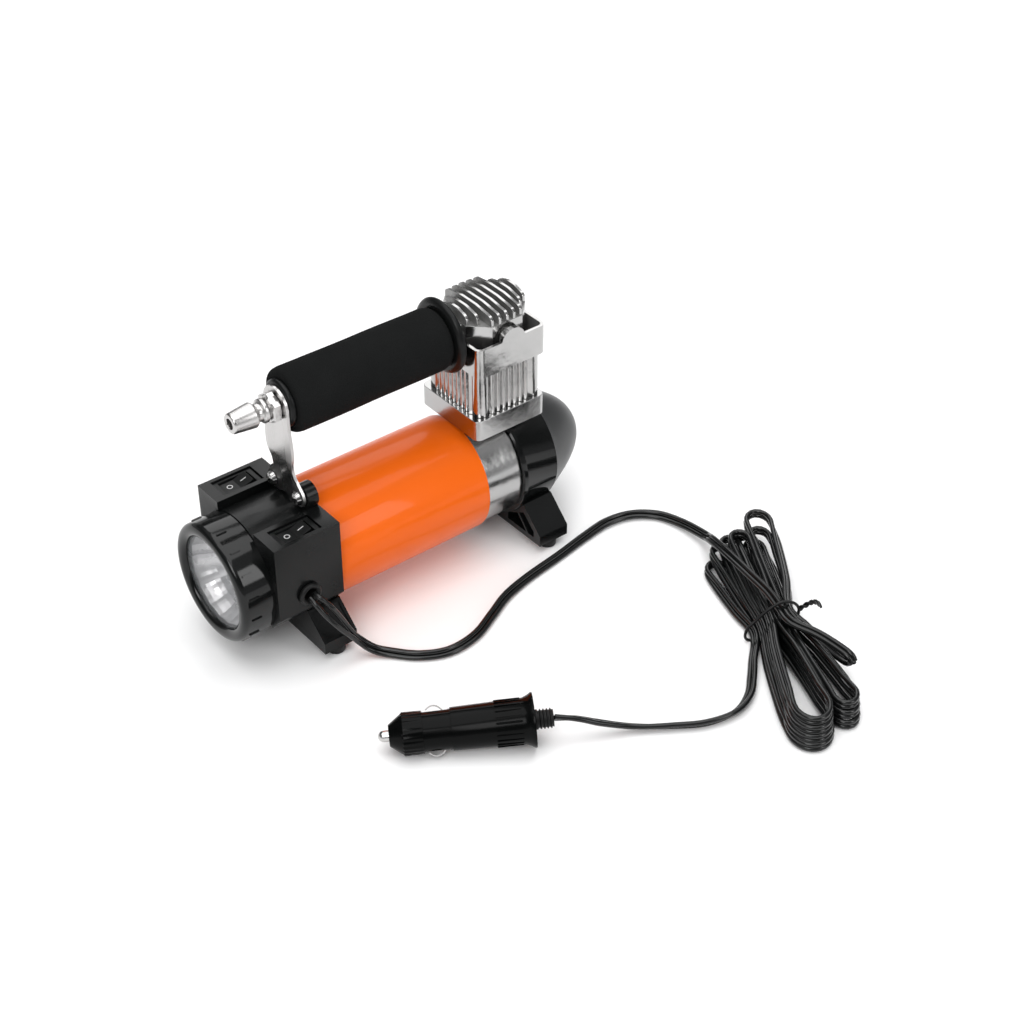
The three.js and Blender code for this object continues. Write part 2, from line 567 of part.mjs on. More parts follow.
function crankcaseBody() {
  const shell = turned('x', ON_AXIS, [
    [31, 0], [31, 29.2], [SLEEVE_REAR + GAP, 29.2], [SLEEVE_REAR + GAP, CASE_RADIUS],
    [BAND_FRONT - GAP, CASE_RADIUS], [BAND_FRONT - GAP, 28.6], [74, 28.6], [74, 0],
  ], 32);
  const flange = cut(
    plate('z', roundedRectangle(21.9, 23.3, 3.5, HEAD_X - 0.7, 0), AXIS_Z + BAND_RADIUS + GAP, FLANGE_TOP),
    rod('x', ON_AXIS, BAND_FRONT - GAP, BAND_FRONT + 3.3, 32.6, 32),
  );
  const neck = rod('z', ON_CYLINDER, AXIS_Z + 22, FLANGE_TOP - 1, 15.5, 28);
  return cut(
    union(shell, flange, neck, rod('x', [0, 0, GEAR_Z], 36, 42.5, 6, 24)),
    cut(rod('x', ON_AXIS, 36.5, 75, 26.4, 36), rod('x', [0, 0, GEAR_Z], 36, 42.5, 6, 24)),
    rod('z', ON_CYLINDER, AXIS_Z + 10, FLANGE_TOP + 1, 13.2, 28),
    rod('x', ON_AXIS, 30, 37, 6.8, 24),
    rod('x', [0, 0, GEAR_Z], 28, 43, 3.3, 20),
    ...boltHoles(77, 90, 2.1),
  );
}
add('crankcase', crankcaseBody(), FINISH.chrome);

const BARREL = [FLANGE_TOP + GAP, TRAY_BOTTOM - GAP];
function barrelBody() {
  const RIBS = 7;
  const PITCH = 3.5;
  let body = box(HEAD_X - 17.6, HEAD_X + 17.6, -18.6, 18.6, ...BARREL);
  for (const signX of [1, -1]) {
    for (const signY of [1, -1]) {
      body = union(body, rod('z', [HEAD_X + signX * BOLT_X, signY * BOLT_Y, 0], ...BARREL, 4.2, 14));
    }
  }
  for (let i = 0; i < RIBS; i += 1) {
    const offset = (i - (RIBS - 1) / 2) * PITCH;
    body = union(
      body,
      box(HEAD_X - 19.9, HEAD_X + 19.9, offset - 0.75, offset + 0.75, ...BARREL),
      box(HEAD_X + offset - 0.75, HEAD_X + offset + 0.75, -21, 21, ...BARREL),
    );
  }
  return cut(body, rod('z', ON_CYLINDER, 80, 120, BORE_RADIUS, 28), ...boltHoles(80, 120, 2.2));
}
add('cylinder_barrel', barrelBody(), FINISH.chrome);

const PLATE = [TRAY_BOTTOM + 1, TRAY_BOTTOM + 2.6];
function valvePlateBody() {
  const ports = [4, -5].map((offset) => rod('z', [HEAD_X + offset, 0, 0], 100, 120, 1.5, 12));
  const body = plate('z', roundedRectangle(19.2, 20.8, 2, HEAD_X, 0), ...PLATE);
  return cut(body, ...ports, ...boltHoles(100, 120, 2.2));
}
add('valve_plate', valvePlateBody(), FINISH.steel);
add('outlet_reed', box(HEAD_X - 7, HEAD_X + 7, -3, 3, PLATE[1] + GAP, PLATE[1] + GAP + 0.4), FINISH.steel);
add('head_gasket', cut(
  plate('z', roundedRectangle(19.2, 20.8, 2, HEAD_X, 0), TRAY_BOTTOM + 0.1, TRAY_BOTTOM + 0.7),
  rod('z', ON_CYLINDER, 100, 120, BORE_RADIUS + 0.8, 24), ...boltHoles(100, 120, 2.2),
), FINISH.graphite);

const FINS = { count: 9, pitch: 4.4, thick: 1.5, reach: [10, 12.8, 18.6, 19, 19.2, 19, 18.6, 12.8, 10] };

// A fin's top runs over a shallow arch along y.
function finBody(index) {
  const reach = FINS.reach[index];
  const x = HEAD_X + (index - (FINS.count - 1) / 2) * FINS.pitch;
  const shape = new THREE.Shape();
  shape.moveTo(-reach, HEAD_TOP - 6);
  shape.lineTo(reach, HEAD_TOP - 6);
  shape.lineTo(reach, HEAD_TOP + 2.4);
  shape.quadraticCurveTo(reach - 0.6, HEAD_TOP + 3.8, reach - 2.4, HEAD_TOP + 4.4);
  shape.quadraticCurveTo(0, HEAD_TOP + 7.6, -reach + 2.4, HEAD_TOP + 4.4);
  shape.quadraticCurveTo(-reach + 0.6, HEAD_TOP + 3.8, -reach, HEAD_TOP + 2.4);
  return plate('x', shape, x - FINS.thick / 2, x + FINS.thick / 2, 3);
}

function headBody() {
  const TRAY = { halfX: 21.45, halfY: 23.6, wall: 1.7, floor: 116 };
  const tray = cut(
    plate('z', roundedRectangle(TRAY.halfX, TRAY.halfY, 4, HEAD_X, 0), TRAY_BOTTOM, TRAY_TOP),
    plate(
      'z', roundedRectangle(TRAY.halfX - TRAY.wall, TRAY.halfY - TRAY.wall, 2.5, HEAD_X, 0), TRAY.floor, 140,
    ),
  );
  const corners = [[18.6, 10], [9.4, 19.2]];
  const octagon = outlineOf([
    [1, 1], [-1, 1], [-1, -1], [1, -1],
  ].flatMap(([signX, signY]) => {
    const pair = corners.map(([x, y]) => [HEAD_X + signX * x, signY * y]);
    return signX * signY > 0 ? pair : pair.reverse();
  }));
  const upper = plate('z', octagon, TRAY.floor - 1, HEAD_TOP - 1);
  const crown = FINS.reach.map((_, index) => finBody(index));
  const humpZ = AXIS_Z + 82.9;
  const humps = SIDES.flatMap(([, side]) => {
    const [y0, y1] = [side * (TRAY.halfY - 2.6), side * TRAY.halfY].sort((p, q) => p - q);
    const [b0, b1] = [side * 14, side * (TRAY.halfY - 1)].sort((p, q) => p - q);
    const centre = [HEAD_X + 0.4, 0, humpZ];
    return [rod('y', centre, y0, y1, 7.3), rod('y', centre, b0, b1, 5.4, 20)];
  });
  const boss = rod('x', ON_HANDLE, DISC_FRONT + 3.6 + GAP, 42, 8, 28);
  return cut(
    union(tray, upper, ...crown, ...humps, boss),
    plate('z', roundedRectangle(19.5, 21.1, 2, HEAD_X, 0), TRAY_BOTTOM - 1, PLATE[1] + GAP),
    box(HEAD_X - 10, HEAD_X + 10, -7, 7, PLATE[1], HANDLE_Z + 3),
    rod('x', ON_HANDLE, 30, 36, 5.3, 24),
    rod('x', ON_HANDLE, 30, 48, 2.6, 16),
    ...boltHoles(100, 120, 2.2),
  );
}
add('cylinder_head', headBody(), FINISH.chrome);

function headBoltBody(signX, signY) {
  const seat = 116 + GAP;
  const centre = [HEAD_X + signX * BOLT_X, signY * BOLT_Y, 0];
  const outline = [
    [seat + 3.4, 0], [seat + 3.4, 2.9], [seat + 2.9, 3.3], [seat, 3.3], [seat, 1.8], [78, 1.8], [78, 0],
  ];
  const key = new THREE.Shape();
  for (let i = 0; i < 6; i += 1) {
    const point = [centre[0] + 1.7 * Math.cos(Math.PI * i / 3), centre[1] + 1.7 * Math.sin(Math.PI * i / 3)];
    if (i === 0) key.moveTo(...point);
    else key.lineTo(...point);
  }
  return cut(turned('z', centre, outline, 12), plate('z', key, seat + 1.4, seat + 5));
}
let boltNumber = 0;
for (const signX of [1, -1]) {
  for (const signY of [1, -1]) {
    boltNumber += 1;
    add(`head_bolt_${boltNumber}`, headBoltBody(signX, signY), FINISH.darkSteel);
  }
}

// ---------- rear housing and dome ----------
function rearFootPockets(side) {
  const outer = [[27.4, 19.4], [35.8, 11.6], [35.8, 8.2], [31.4, 8.2], [23.6, 17.4]];
  const inner = [[22.2, 16.6], [29.6, 8.2], [14.5, 8.2], [14.5, 12.2]];
  return [outer, inner].map((points) => (
    plate('x', outlineOf(points.map(([y, z]) => [side * y, z])), REAR_FOOT[0] - 1, REAR_FOOT[1] - 2.4)
  ));
}

function rearHousingBody() {
  const band = turned('x', ON_AXIS, [
    [BAND_FRONT, 28.9], [BAND_FRONT, 31.9], [BAND_FRONT + 0.5, 32.2], [BAND_FRONT + 2.6, 32.2],
    [BAND_FRONT + 3, BAND_RADIUS], [BAND_REAR - GAP, BAND_RADIUS], [BAND_REAR - GAP, 28.9],
    [BAND_FRONT, 28.9],
  ], 32);
  const base = cut(plate('x', footOutline(24.4), ...REAR_FOOT), rod('x', ON_AXIS, 50, 90, 30, 32));
  return cut(
    union(band, base),
    rod('z', ON_CYLINDER, AXIS_Z, 90, 15.9, 28),
    box(50, HEAD_X, -15.9, 15.9, AXIS_Z + 20, 90),
    ...SIDES.flatMap(([, side]) => rearFootPockets(side)),
    ...footHoles((REAR_FOOT[0] + REAR_FOOT[1]) / 2),
  );
}
add('rear_housing', rearHousingBody(), FINISH.glossBlack);

function domeBody() {
  const STEPS = 6;
  const WALL = 2;
  const profile = (length, radius) => Array.from({ length: STEPS + 1 }, (_, i) => {
    const along = (i / STEPS) ** 0.8;
    return [BAND_REAR + length * along, i === STEPS ? 0 : radius * (1 - along ** 0.9) ** 0.4];
  });
  const outside = profile(DOME_LENGTH, 30.9);
  const inside = profile(DOME_LENGTH - WALL, 30.9 - WALL).reverse();
  return turned('x', ON_AXIS, [...inside, ...outside], 24);
}
add('dome_cap', domeBody(), FINISH.greyBlack);

// ---------- rubber feet ----------
function rubberFootBody() {
  const top = FOOT_HEIGHT - GAP;
  return turned('z', [0, 0, 0], [
    [0, 0], [0, 3.9], [0.6, 4.5], [top, 4.8], [top, 2], [top + 3, 2], [top + 3, 0],
  ], 14);
}
const FOOT_PLACES = [['front', FRONT_FOOT], ['rear', REAR_FOOT]];
for (const [end, [x0, x1]] of FOOT_PLACES) {
  for (const [name, side] of SIDES) {
    const foot = rubberFootBody().translate([(x0 + x1) / 2, side * TIP_Y, 0]);
    add(`rubber_foot_${end}_${name}`, foot, FINISH.rubber);
  }
}

// ---------- supply cord ----------
const CORD_Z = CORD_RADIUS + 0.1;
const LEAD = [
  [GLAND.x, GLAND_FACE - GAP, GLAND.z], [-76.4, -40, 39.6], [-73, -43.8, 33.5], [-66.5, -46, 22],
  [-59.5, -48, 11], [-53.5, -52.2, 4.6], [-47, -58.5, CORD_Z], [-38, -68, CORD_Z], [-25, -74.5, CORD_Z],
  [-8, -73.5, CORD_Z], [9, -66, CORD_Z], [23, -59.3, CORD_Z], [40, -54.8, CORD_Z], [65, -50.8, CORD_Z],
  [86.5, -46.8, CORD_Z], [104, -44.8, CORD_Z], [118, -48.2, CORD_Z], [128.5, -57.3, CORD_Z],
  [134.5, -71, CORD_Z], [136.6, -86.6, CORD_Z],
];
const TAIL = [
  [85, -172.5, CORD_Z], [77.5, -181.5, CORD_Z], [68.5, -189, CORD_Z], [56, -193.6, CORD_Z],
  [40, -191, CORD_Z], [25, -182, CORD_Z], [10, -171.5, 3.6], [-4, -163.3, 8.2], [-13.5, -157.6, 12.2],
  [-22.1, -152.07, 13.84],
];

function cordBody(points, steps) {
  const path = new THREE.CatmullRomCurve3(points.map((p) => new THREE.Vector3(...p)), false, 'centripetal');
  const section = new THREE.Shape();
  section.absarc(0, 0, CORD_RADIUS, 0, 2 * Math.PI, false);
  const settings = { steps, extrudePath: path, curveSegments: 4, bevelEnabled: false };
  return solid(new THREE.ExtrudeGeometry(section, settings));
}
add('cord_lead', cordBody(LEAD, 34), FINISH.cord);
add('cord_tail', cordBody(TAIL, 14), FINISH.cord);

// The tied hank: a long bundle with round ends, lying aslant on the ground.
const HANK = { x: 120, y: -164, turn: 59.2, halfLength: 86, halfWidth: 23, height: 24 };
function hankBody() {
  const { halfLength, halfWidth, height, turn, x, y } = HANK;
  const bundle = plate('z', roundedRectangle(halfLength, halfWidth, halfWidth - 0.1), 0.1, height, 8);
  return bundle.rotate([0, 0, turn]).translate([x, y, 0]);
}
add('cord_hank', hankBody(), FINISH.cord);

// ---------- vehicle socket plug ----------
// The plug lies on its flared end and its ring, so it dips a little towards the pin. It has come to rest
// with its two side contacts slanting, one up and one down.
const PLUG = { x: -31.2, y: -146.2, z: 13.25, turn: 147.2, dip: 3.1, roll: -46.3 };
const plug = new THREE.Group();
plug.position.set(PLUG.x, PLUG.y, PLUG.z);
plug.rotation.set(...[PLUG.roll, PLUG.dip, PLUG.turn].map(THREE.MathUtils.degToRad), 'ZYX');
model.add(plug);
const ORIGIN = [0, 0, 0];

function plugBodyBody() {
  const barrel = turned('x', ORIGIN, [
    [-1.5, 2.8], [-1.5, 13], [-0.7, 13], [1, 11.9], [3.4, 10.9], [17, 10.6], [37.2, 10.1], [37.2, 9.5],
    [51, 9.4], [51, 7.6], [6, 7.6], [6, 2.8], [-1.5, 2.8],
  ], 24);
  return cut(barrel, box(38.4, 50, -12, 12, -2.2, 2.2));
}

function plugCollarBody() {
  return turned('x', ORIGIN, [
    [51.3, 3.1], [51.3, 10], [60, 10], [65.6, 5.4], [66.2, 5.2], [66.2, 3.1], [51.3, 3.1],
  ], 32);
}

function contactPinBody() {
  return turned('x', ORIGIN, [
    [47.6, 0], [47.6, 4], [50.4, 4], [50.4, 2.7], [69.5, 2.7], [70.9, 1.7], [71.4, 0],
  ], 16);
}

// A side contact: a thin sprung strip that bows out through a slot in the barrel.
function sideContactBody(side) {
  const shape = new THREE.Shape();
  shape.moveTo(39.6, side * 8.3);
  shape.quadraticCurveTo(43.8, side * 14.6, 48.6, side * 10.2);
  shape.lineTo(48.2, side * 9.7);
  shape.quadraticCurveTo(43.8, side * 13.6, 40.2, side * 8);
  return plate('z', shape, -1.3, 1.3, 8);
}

function strainReliefBody() {
  const [from, to] = [-10.4, -1.8];
  return turned('x', ORIGIN, [[to, 2.7], [to, 4.8], [from, 4.5], [from, 2.7], [to, 2.7]], 20);
}

place(plug, 'plug_body', plugBodyBody(), FINISH.satinBlack);
place(plug, 'plug_collar', plugCollarBody(), FINISH.satinBlack);
place(plug, 'plug_pin', contactPinBody(), FINISH.steel);
place(plug, 'plug_contact_left', sideContactBody(1), FINISH.steel);
place(plug, 'plug_contact_right', sideContactBody(-1), FINISH.steel);
place(plug, 'plug_strain_relief', strainReliefBody(), FINISH.rubber);

export default model;
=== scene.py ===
# %% [markdown]
# # A portable tire inflator, dressed for the studio
#
# The machine is a small 12 volt motor in an orange tube, with a lamp and two switches in front and a
# chromed air cylinder behind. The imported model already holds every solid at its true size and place.
# This lesson keeps that frame fixed and builds a finer surface around it, one piece at a time. Each
# finer piece stands for its plain solid, rides on the same moving body and takes a finish of its own.

# %% Load the fixed frame
import math

import bmesh
import bpy
from mathutils import Matrix, Vector, noise
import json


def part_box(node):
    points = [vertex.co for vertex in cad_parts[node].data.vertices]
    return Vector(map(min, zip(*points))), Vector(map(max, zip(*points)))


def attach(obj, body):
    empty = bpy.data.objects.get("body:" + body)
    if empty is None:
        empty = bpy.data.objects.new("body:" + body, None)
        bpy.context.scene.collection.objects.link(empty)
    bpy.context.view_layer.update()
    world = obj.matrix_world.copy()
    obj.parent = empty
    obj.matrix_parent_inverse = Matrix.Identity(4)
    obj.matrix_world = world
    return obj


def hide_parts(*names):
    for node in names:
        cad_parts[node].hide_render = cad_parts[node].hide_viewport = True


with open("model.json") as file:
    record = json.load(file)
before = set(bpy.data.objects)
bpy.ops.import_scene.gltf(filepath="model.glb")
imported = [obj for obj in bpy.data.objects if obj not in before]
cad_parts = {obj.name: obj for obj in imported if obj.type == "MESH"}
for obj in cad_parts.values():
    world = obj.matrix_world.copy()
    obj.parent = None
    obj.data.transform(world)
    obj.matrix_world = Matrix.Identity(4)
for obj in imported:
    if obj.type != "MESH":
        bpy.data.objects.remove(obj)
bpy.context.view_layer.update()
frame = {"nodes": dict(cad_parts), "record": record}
RECORD = frame["record"]
BODY_OF = {node: body for body, nodes in RECORD["behaviour"]["bodies"].items() for node in nodes}
SLOT_OF = {row["node"]: row["material_slot"] for row in RECORD["subparts"]}
MM = 0.001
print("nodes in the frame:", len(BODY_OF))

# %% [markdown]
# Every later size hangs on a few lines of the machine: the motor's axis, the handle's axis and the
# cylinder's axis. They could be typed in again, but then a change to the solids would leave them
# behind. They are read from the boxes of the nodes instead, in millimetres.

# %% Read the driving places from the frame
def span(node):
    low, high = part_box(node)
    return low / MM, high / MM


SLEEVE_LOW, SLEEVE_HIGH = span("motor_sleeve")
AXIS_Z = (SLEEVE_LOW.z + SLEEVE_HIGH.z) / 2
SLEEVE_RADIUS = (SLEEVE_HIGH.z - SLEEVE_LOW.z) / 2
GRIP_LOW, GRIP_HIGH = span("foam_grip")
HANDLE_Z = (GRIP_LOW.z + GRIP_HIGH.z) / 2
BORE = 5.3
ON_MOTOR = Vector((0, 0, AXIS_Z))
ON_HANDLE = Vector((0, 0, HANDLE_Z))
SIDES = {"left": 1, "right": -1}
print("motor axis at", round(AXIS_Z, 2), "mm and handle axis at", round(HANDLE_Z, 2), "mm")

# %% [markdown]
# The camera comes first, because the studio and the loose lead are both judged through it. It looks
# down on the machine from its front right corner with a long lens, so that the tube keeps its
# proportions and the far end hardly shrinks. Two angles, a distance and the point in the middle of the
# view say that more clearly than a matrix would.

# %% Set up the camera
VIEW_AZIMUTH = math.radians(-38.67)
VIEW_ELEVATION = math.radians(37.5)
VIEW_DISTANCE = 1.0848
VIEW_TARGET = Vector((0.0744, 0.0, -0.0034))
LENS_MM = 70.66

level = math.cos(VIEW_ELEVATION)
backward = Vector((
    math.sin(VIEW_AZIMUTH) * level,
    -math.cos(VIEW_AZIMUTH) * level,
    math.sin(VIEW_ELEVATION),
))
camera = bpy.data.objects.new("camera", bpy.data.cameras.new("camera"))
bpy.context.scene.collection.objects.link(camera)
camera.data.lens = LENS_MM
camera.data.sensor_width = 36
camera.data.clip_start = 0.01
camera.location = VIEW_TARGET + backward * VIEW_DISTANCE
camera.rotation_mode = "QUATERNION"
camera.rotation_quaternion = (-backward).to_track_quat("-Z", "Y")
bpy.context.scene.camera = camera
print("camera at", [round(value, 3) for value in camera.location])

# %% [markdown]
# Chrome and gloss black have almost no colour of their own: they show the room. A plain white room
# would turn the cylinder head into white plaster, so the room here is bright above and near the floor,
# with a darker belt between them, as black cards do in a product studio. Three large soft lamps do the
# rest, and a pale floor catches a gentle shadow.

# %% Build the studio
bpy.context.scene.view_settings.view_transform = "Standard"


def studio_room():
    world = bpy.data.worlds.new("studio_room")
    bpy.context.scene.world = world
    world.use_nodes = True
    nodes, links = world.node_tree.nodes, world.node_tree.links
    direction = nodes.new("ShaderNodeTexCoord")
    split = nodes.new("ShaderNodeSeparateXYZ")
    belt = nodes.new("ShaderNodeValToRGB")
    links.new(direction.outputs["Generated"], split.inputs["Vector"])
    links.new(split.outputs["Z"], belt.inputs["Fac"])
    stops = [(0.0, 0.95), (0.14, 0.8), (0.26, 0.2), (0.5, 0.28), (0.68, 0.95), (1.0, 1.0)]
    while len(belt.color_ramp.elements) < len(stops):
        belt.color_ramp.elements.new(0.5)
    for element, (height, tone) in zip(belt.color_ramp.elements, stops):
        element.position = height
        element.color = (tone, tone, tone * 1.01, 1)
    background = nodes["Background"]
    background.inputs["Strength"].default_value = 0.45
    links.new(belt.outputs["Color"], background.inputs["Color"])


def soft_lamp(name, position, size, power, target=(0.02, -0.04, 0.05)):
    lamp = bpy.data.lights.new(name, "AREA")
    lamp.shape = "RECTANGLE"
    lamp.size, lamp.size_y = size
    lamp.energy = power
    holder = bpy.data.objects.new(name, lamp)
    bpy.context.scene.collection.objects.link(holder)
    holder.location = position
    holder.rotation_mode = "QUATERNION"
    holder.rotation_quaternion = (Vector(target) - Vector(position)).to_track_quat("-Z", "Y")


def pale_floor():
    bpy.ops.mesh.primitive_plane_add(size=12)
    floor = bpy.context.object
    floor.name = "studio_floor"
    paper = bpy.data.materials.new("studio_paper")
    paper.use_nodes = True
    shader = paper.node_tree.nodes["Principled BSDF"]
    shader.inputs["Base Color"].default_value = (0.97, 0.97, 0.97, 1)
    shader.inputs["Roughness"].default_value = 0.9
    floor.data.materials.append(paper)


studio_room()
soft_lamp("top_lamp", (0.0, 0.0, 1.8), (2.2, 2.0), 30)
soft_lamp("key_lamp", (-1.2, -0.9, 1.2), (0.8, 0.8), 11)
soft_lamp("side_lamp", (0.6, -1.6, 0.9), (0.5, 0.9), 7)
soft_lamp("back_lamp", (1.1, 1.4, 1.35), (1.6, 0.9), 9)
pale_floor()
print("studio lamps: 4")

# %% [markdown]
# A real surface is never one flat value. Each finish below has two close tones that drift into each
# other, a roughness that wanders between two limits, and a fine grain that tilts the surface. One
# function lays out those nodes, and what is the same all over, such as a clear coat, is set straight on
# the shader so that it survives an export.

# %% Write the finish maker
def surface(name, tones, rough, metallic=0.0, tone_scale=40, rough_scale=70, grain=(900, 0.00002),
            stretch=(1, 1, 1), fixed=None):
    """A procedural finish. Scales are in cycles for each metre, and grain is (scale, height in metres)."""
    material = bpy.data.materials.new(name)
    material.use_nodes = True
    nodes, links = material.node_tree.nodes, material.node_tree.links
    shader = nodes["Principled BSDF"]
    shader.inputs["Metallic"].default_value = metallic
    for socket, value in (fixed or {}).items():
        shader.inputs[socket].default_value = value
    place = nodes.new("ShaderNodeTexCoord")
    mapping = nodes.new("ShaderNodeMapping")
    mapping.inputs["Scale"].default_value = stretch
    links.new(place.outputs["Object"], mapping.inputs["Vector"])

    def cloud(scale, detail):
        texture = nodes.new("ShaderNodeTexNoise")
        texture.inputs["Scale"].default_value = scale
        texture.inputs["Detail"].default_value = detail
        links.new(mapping.outputs["Vector"], texture.inputs["Vector"])
        return texture.outputs["Fac"]

    tint = nodes.new("ShaderNodeMix")
    tint.data_type = "RGBA"
    tint.inputs["A"].default_value = (*tones[0], 1)
    tint.inputs["B"].default_value = (*tones[1], 1)
    links.new(cloud(tone_scale, 3), tint.inputs["Factor"])
    links.new(tint.outputs["Result"], shader.inputs["Base Color"])
    wander = nodes.new("ShaderNodeMapRange")
    wander.inputs["From Min"].default_value = 0.3
    wander.inputs["From Max"].default_value = 0.7
    wander.inputs["To Min"].default_value = rough[0]
    wander.inputs["To Max"].default_value = rough[1]
    links.new(cloud(rough_scale, 4), wander.inputs["Value"])
    links.new(wander.outputs["Result"], shader.inputs["Roughness"])
    bump = nodes.new("ShaderNodeBump")
    bump.inputs["Distance"].default_value = grain[1]
    links.new(cloud(grain[0], 2), bump.inputs["Height"])
    links.new(bump.outputs["Normal"], shader.inputs["Normal"])
    return material


# %% [markdown]
# The finishes follow how each part is made. The sleeve is enamelled steel under a clear coat, the lamp
# ring and the rear band are polished mouldings, and the switch boxes come from a mould with a fine
# texture. The cylinder is cast, polished and plated, so it is bright but never quite flat.

# %% Mix the finishes
CLEAR_COAT = {"Coat Weight": 0.25, "Coat Roughness": 0.06, "Coat IOR": 1.4, "Specular IOR Level": 0.12}
enamel = surface("orange_enamel", [(0.87, 0.136, 0.005), (0.84, 0.126, 0.004)], (0.32, 0.38),
                 grain=(260, 0.000012), fixed=CLEAR_COAT)
gloss_black = surface("gloss_moulding", [(0.0035, 0.004, 0.004), (0.006, 0.0065, 0.0065)], (0.08, 0.13),
                      grain=(160, 0.00002), fixed={"Specular IOR Level": 0.3})
satin_black = surface("satin_moulding", [(0.004, 0.0045, 0.0045), (0.007, 0.0075, 0.0075)], (0.26, 0.34),
                      grain=(2600, 0.000012), fixed={"Specular IOR Level": 0.18})
switch_black = surface("switch_moulding", [(0.004, 0.0045, 0.0045), (0.007, 0.0075, 0.0075)], (0.3, 0.38),
                       grain=(3200, 0.000015), fixed={"Specular IOR Level": 0.2})
housing_black = surface("housing_moulding", [(0.0035, 0.004, 0.004), (0.006, 0.0065, 0.0065)], (0.2, 0.28),
                        grain=(700, 0.00001), fixed={"Specular IOR Level": 0.2})
plug_black = surface("plug_moulding", [(0.0012, 0.0014, 0.0014), (0.0022, 0.0025, 0.0025)], (0.14, 0.2),
                     grain=(1400, 0.000006), fixed={"Specular IOR Level": 0.08})
dome_grey = surface("dome_moulding", [(0.022, 0.023, 0.024), (0.03, 0.031, 0.032)], (0.3, 0.38),
                    grain=(1800, 0.000012), fixed={"Specular IOR Level": 0.35})
chrome = surface("plated_casting", [(0.5, 0.495, 0.49), (0.4, 0.398, 0.395)], (0.1, 0.2), metallic=1.0,
                 tone_scale=90, grain=(130, 0.00018))
rough_cast = surface("rough_casting", [(0.4, 0.397, 0.392), (0.26, 0.258, 0.254)], (0.38, 0.52),
                     metallic=0.85, tone_scale=260, grain=(900, 0.0002))
dull_chrome = surface("plated_band", [(0.46, 0.458, 0.455), (0.38, 0.379, 0.378)], (0.14, 0.24),
                      metallic=1.0, grain=(220, 0.00008))
steel = surface("zinc_plate", [(0.6, 0.59, 0.58), (0.5, 0.49, 0.485)], (0.22, 0.34), metallic=1.0,
                grain=(1200, 0.00002), stretch=(1, 1, 0.08))
dark_steel = surface("phosphated_steel", [(0.1, 0.1, 0.105), (0.15, 0.15, 0.155)], (0.3, 0.42), metallic=1.0)
spring_steel = surface("spring_strip", [(0.3, 0.295, 0.29), (0.22, 0.218, 0.215)], (0.25, 0.35), metallic=1.0)
mirror = surface("metallised_bowl", [(0.56, 0.55, 0.555), (0.4, 0.395, 0.4)], (0.24, 0.34), metallic=1.0)
foam = surface("foamed_rubber", [(0.007, 0.0075, 0.0075), (0.011, 0.0115, 0.0115)], (0.85, 0.98),
               grain=(1500, 0.00035), fixed={"Specular IOR Level": 0.05})
rubber = surface("moulded_rubber", [(0.005, 0.005, 0.005), (0.009, 0.009, 0.009)], (0.4, 0.5),
                 grain=(1800, 0.00003), fixed={"Specular IOR Level": 0.25})
cord_skin = surface("cord_insulation", [(0.0035, 0.004, 0.004), (0.006, 0.0065, 0.0065)], (0.15, 0.22),
                    tone_scale=25, grain=(500, 0.00002), fixed={"Specular IOR Level": 0.42})
brass = surface("turned_brass", [(0.62, 0.4, 0.14), (0.52, 0.33, 0.11)], (0.2, 0.32), metallic=1.0)
copper = surface("copper_windings", [(0.55, 0.2, 0.08), (0.42, 0.14, 0.06)], (0.25, 0.4), metallic=1.0)
graphite = surface("dark_graphite", [(0.02, 0.02, 0.022), (0.03, 0.03, 0.032)], (0.5, 0.7))
seal_white = surface("seal_ring", [(0.62, 0.6, 0.52), (0.7, 0.68, 0.6)], (0.4, 0.55))
board_white = surface("board_lacquer", [(0.22, 0.22, 0.23), (0.17, 0.17, 0.18)], (0.35, 0.45),
                      fixed={"Specular IOR Level": 0.3})
mark_white = surface("printed_white", [(0.75, 0.75, 0.75), (0.68, 0.68, 0.68)], (0.45, 0.55))
lens_clear = surface("clear_lens", [(0.9, 0.92, 0.94), (0.84, 0.87, 0.9)], (0.02, 0.05),
                     grain=(60, 0.00004), fixed={"Alpha": 0.12, "IOR": 1.49})
print("finishes:", len(bpy.data.materials))

# %% [markdown]
# The inner pieces are hidden when the machine is whole, but they are real pieces with real metals. Their
# plain solids keep their shapes, and only the material changes. A table from record slot to finish does
# that for every node at once, and the visible pieces are dressed again further down.

# %% Give every node the finish of its slot
FINISH_OF_SLOT = {
    "orange_paint": enamel, "gloss_black": gloss_black, "satin_black": satin_black, "dome_grey": dome_grey,
    "chrome": chrome, "bright_steel": steel, "dark_steel": dark_steel, "reflector": mirror,
    "lens": lens_clear, "foam": foam, "rubber": rubber, "brass": brass, "copper": copper,
    "graphite": graphite, "seal": seal_white, "board": board_white, "cord": cord_skin,
}
for node, solid in frame["nodes"].items():
    solid.data.materials.clear()
    solid.data.materials.append(FINISH_OF_SLOT[SLOT_OF[node]])
print("dressed nodes:", len(frame["nodes"]))

# %% [markdown]
# Three small tools make nearly everything. The first turns an outline round an axis, as a lathe does,
# with outlines as pairs of distance along the axis and radius. The second eases the corners of such an
# outline, because moulded and turned parts never have knife edges. The third hands a finished piece
# over to the frame: it rides on a body, stands for its solid and takes the finish.

# %% Write the turning and hand-over tools
AXES = {
    "x": (Vector((1, 0, 0)), Vector((0, 1, 0)), Vector((0, 0, 1))),
    "y": (Vector((0, 1, 0)), Vector((0, 0, 1)), Vector((1, 0, 0))),
    "z": (Vector((0, 0, 1)), Vector((1, 0, 0)), Vector((0, 1, 0))),
}


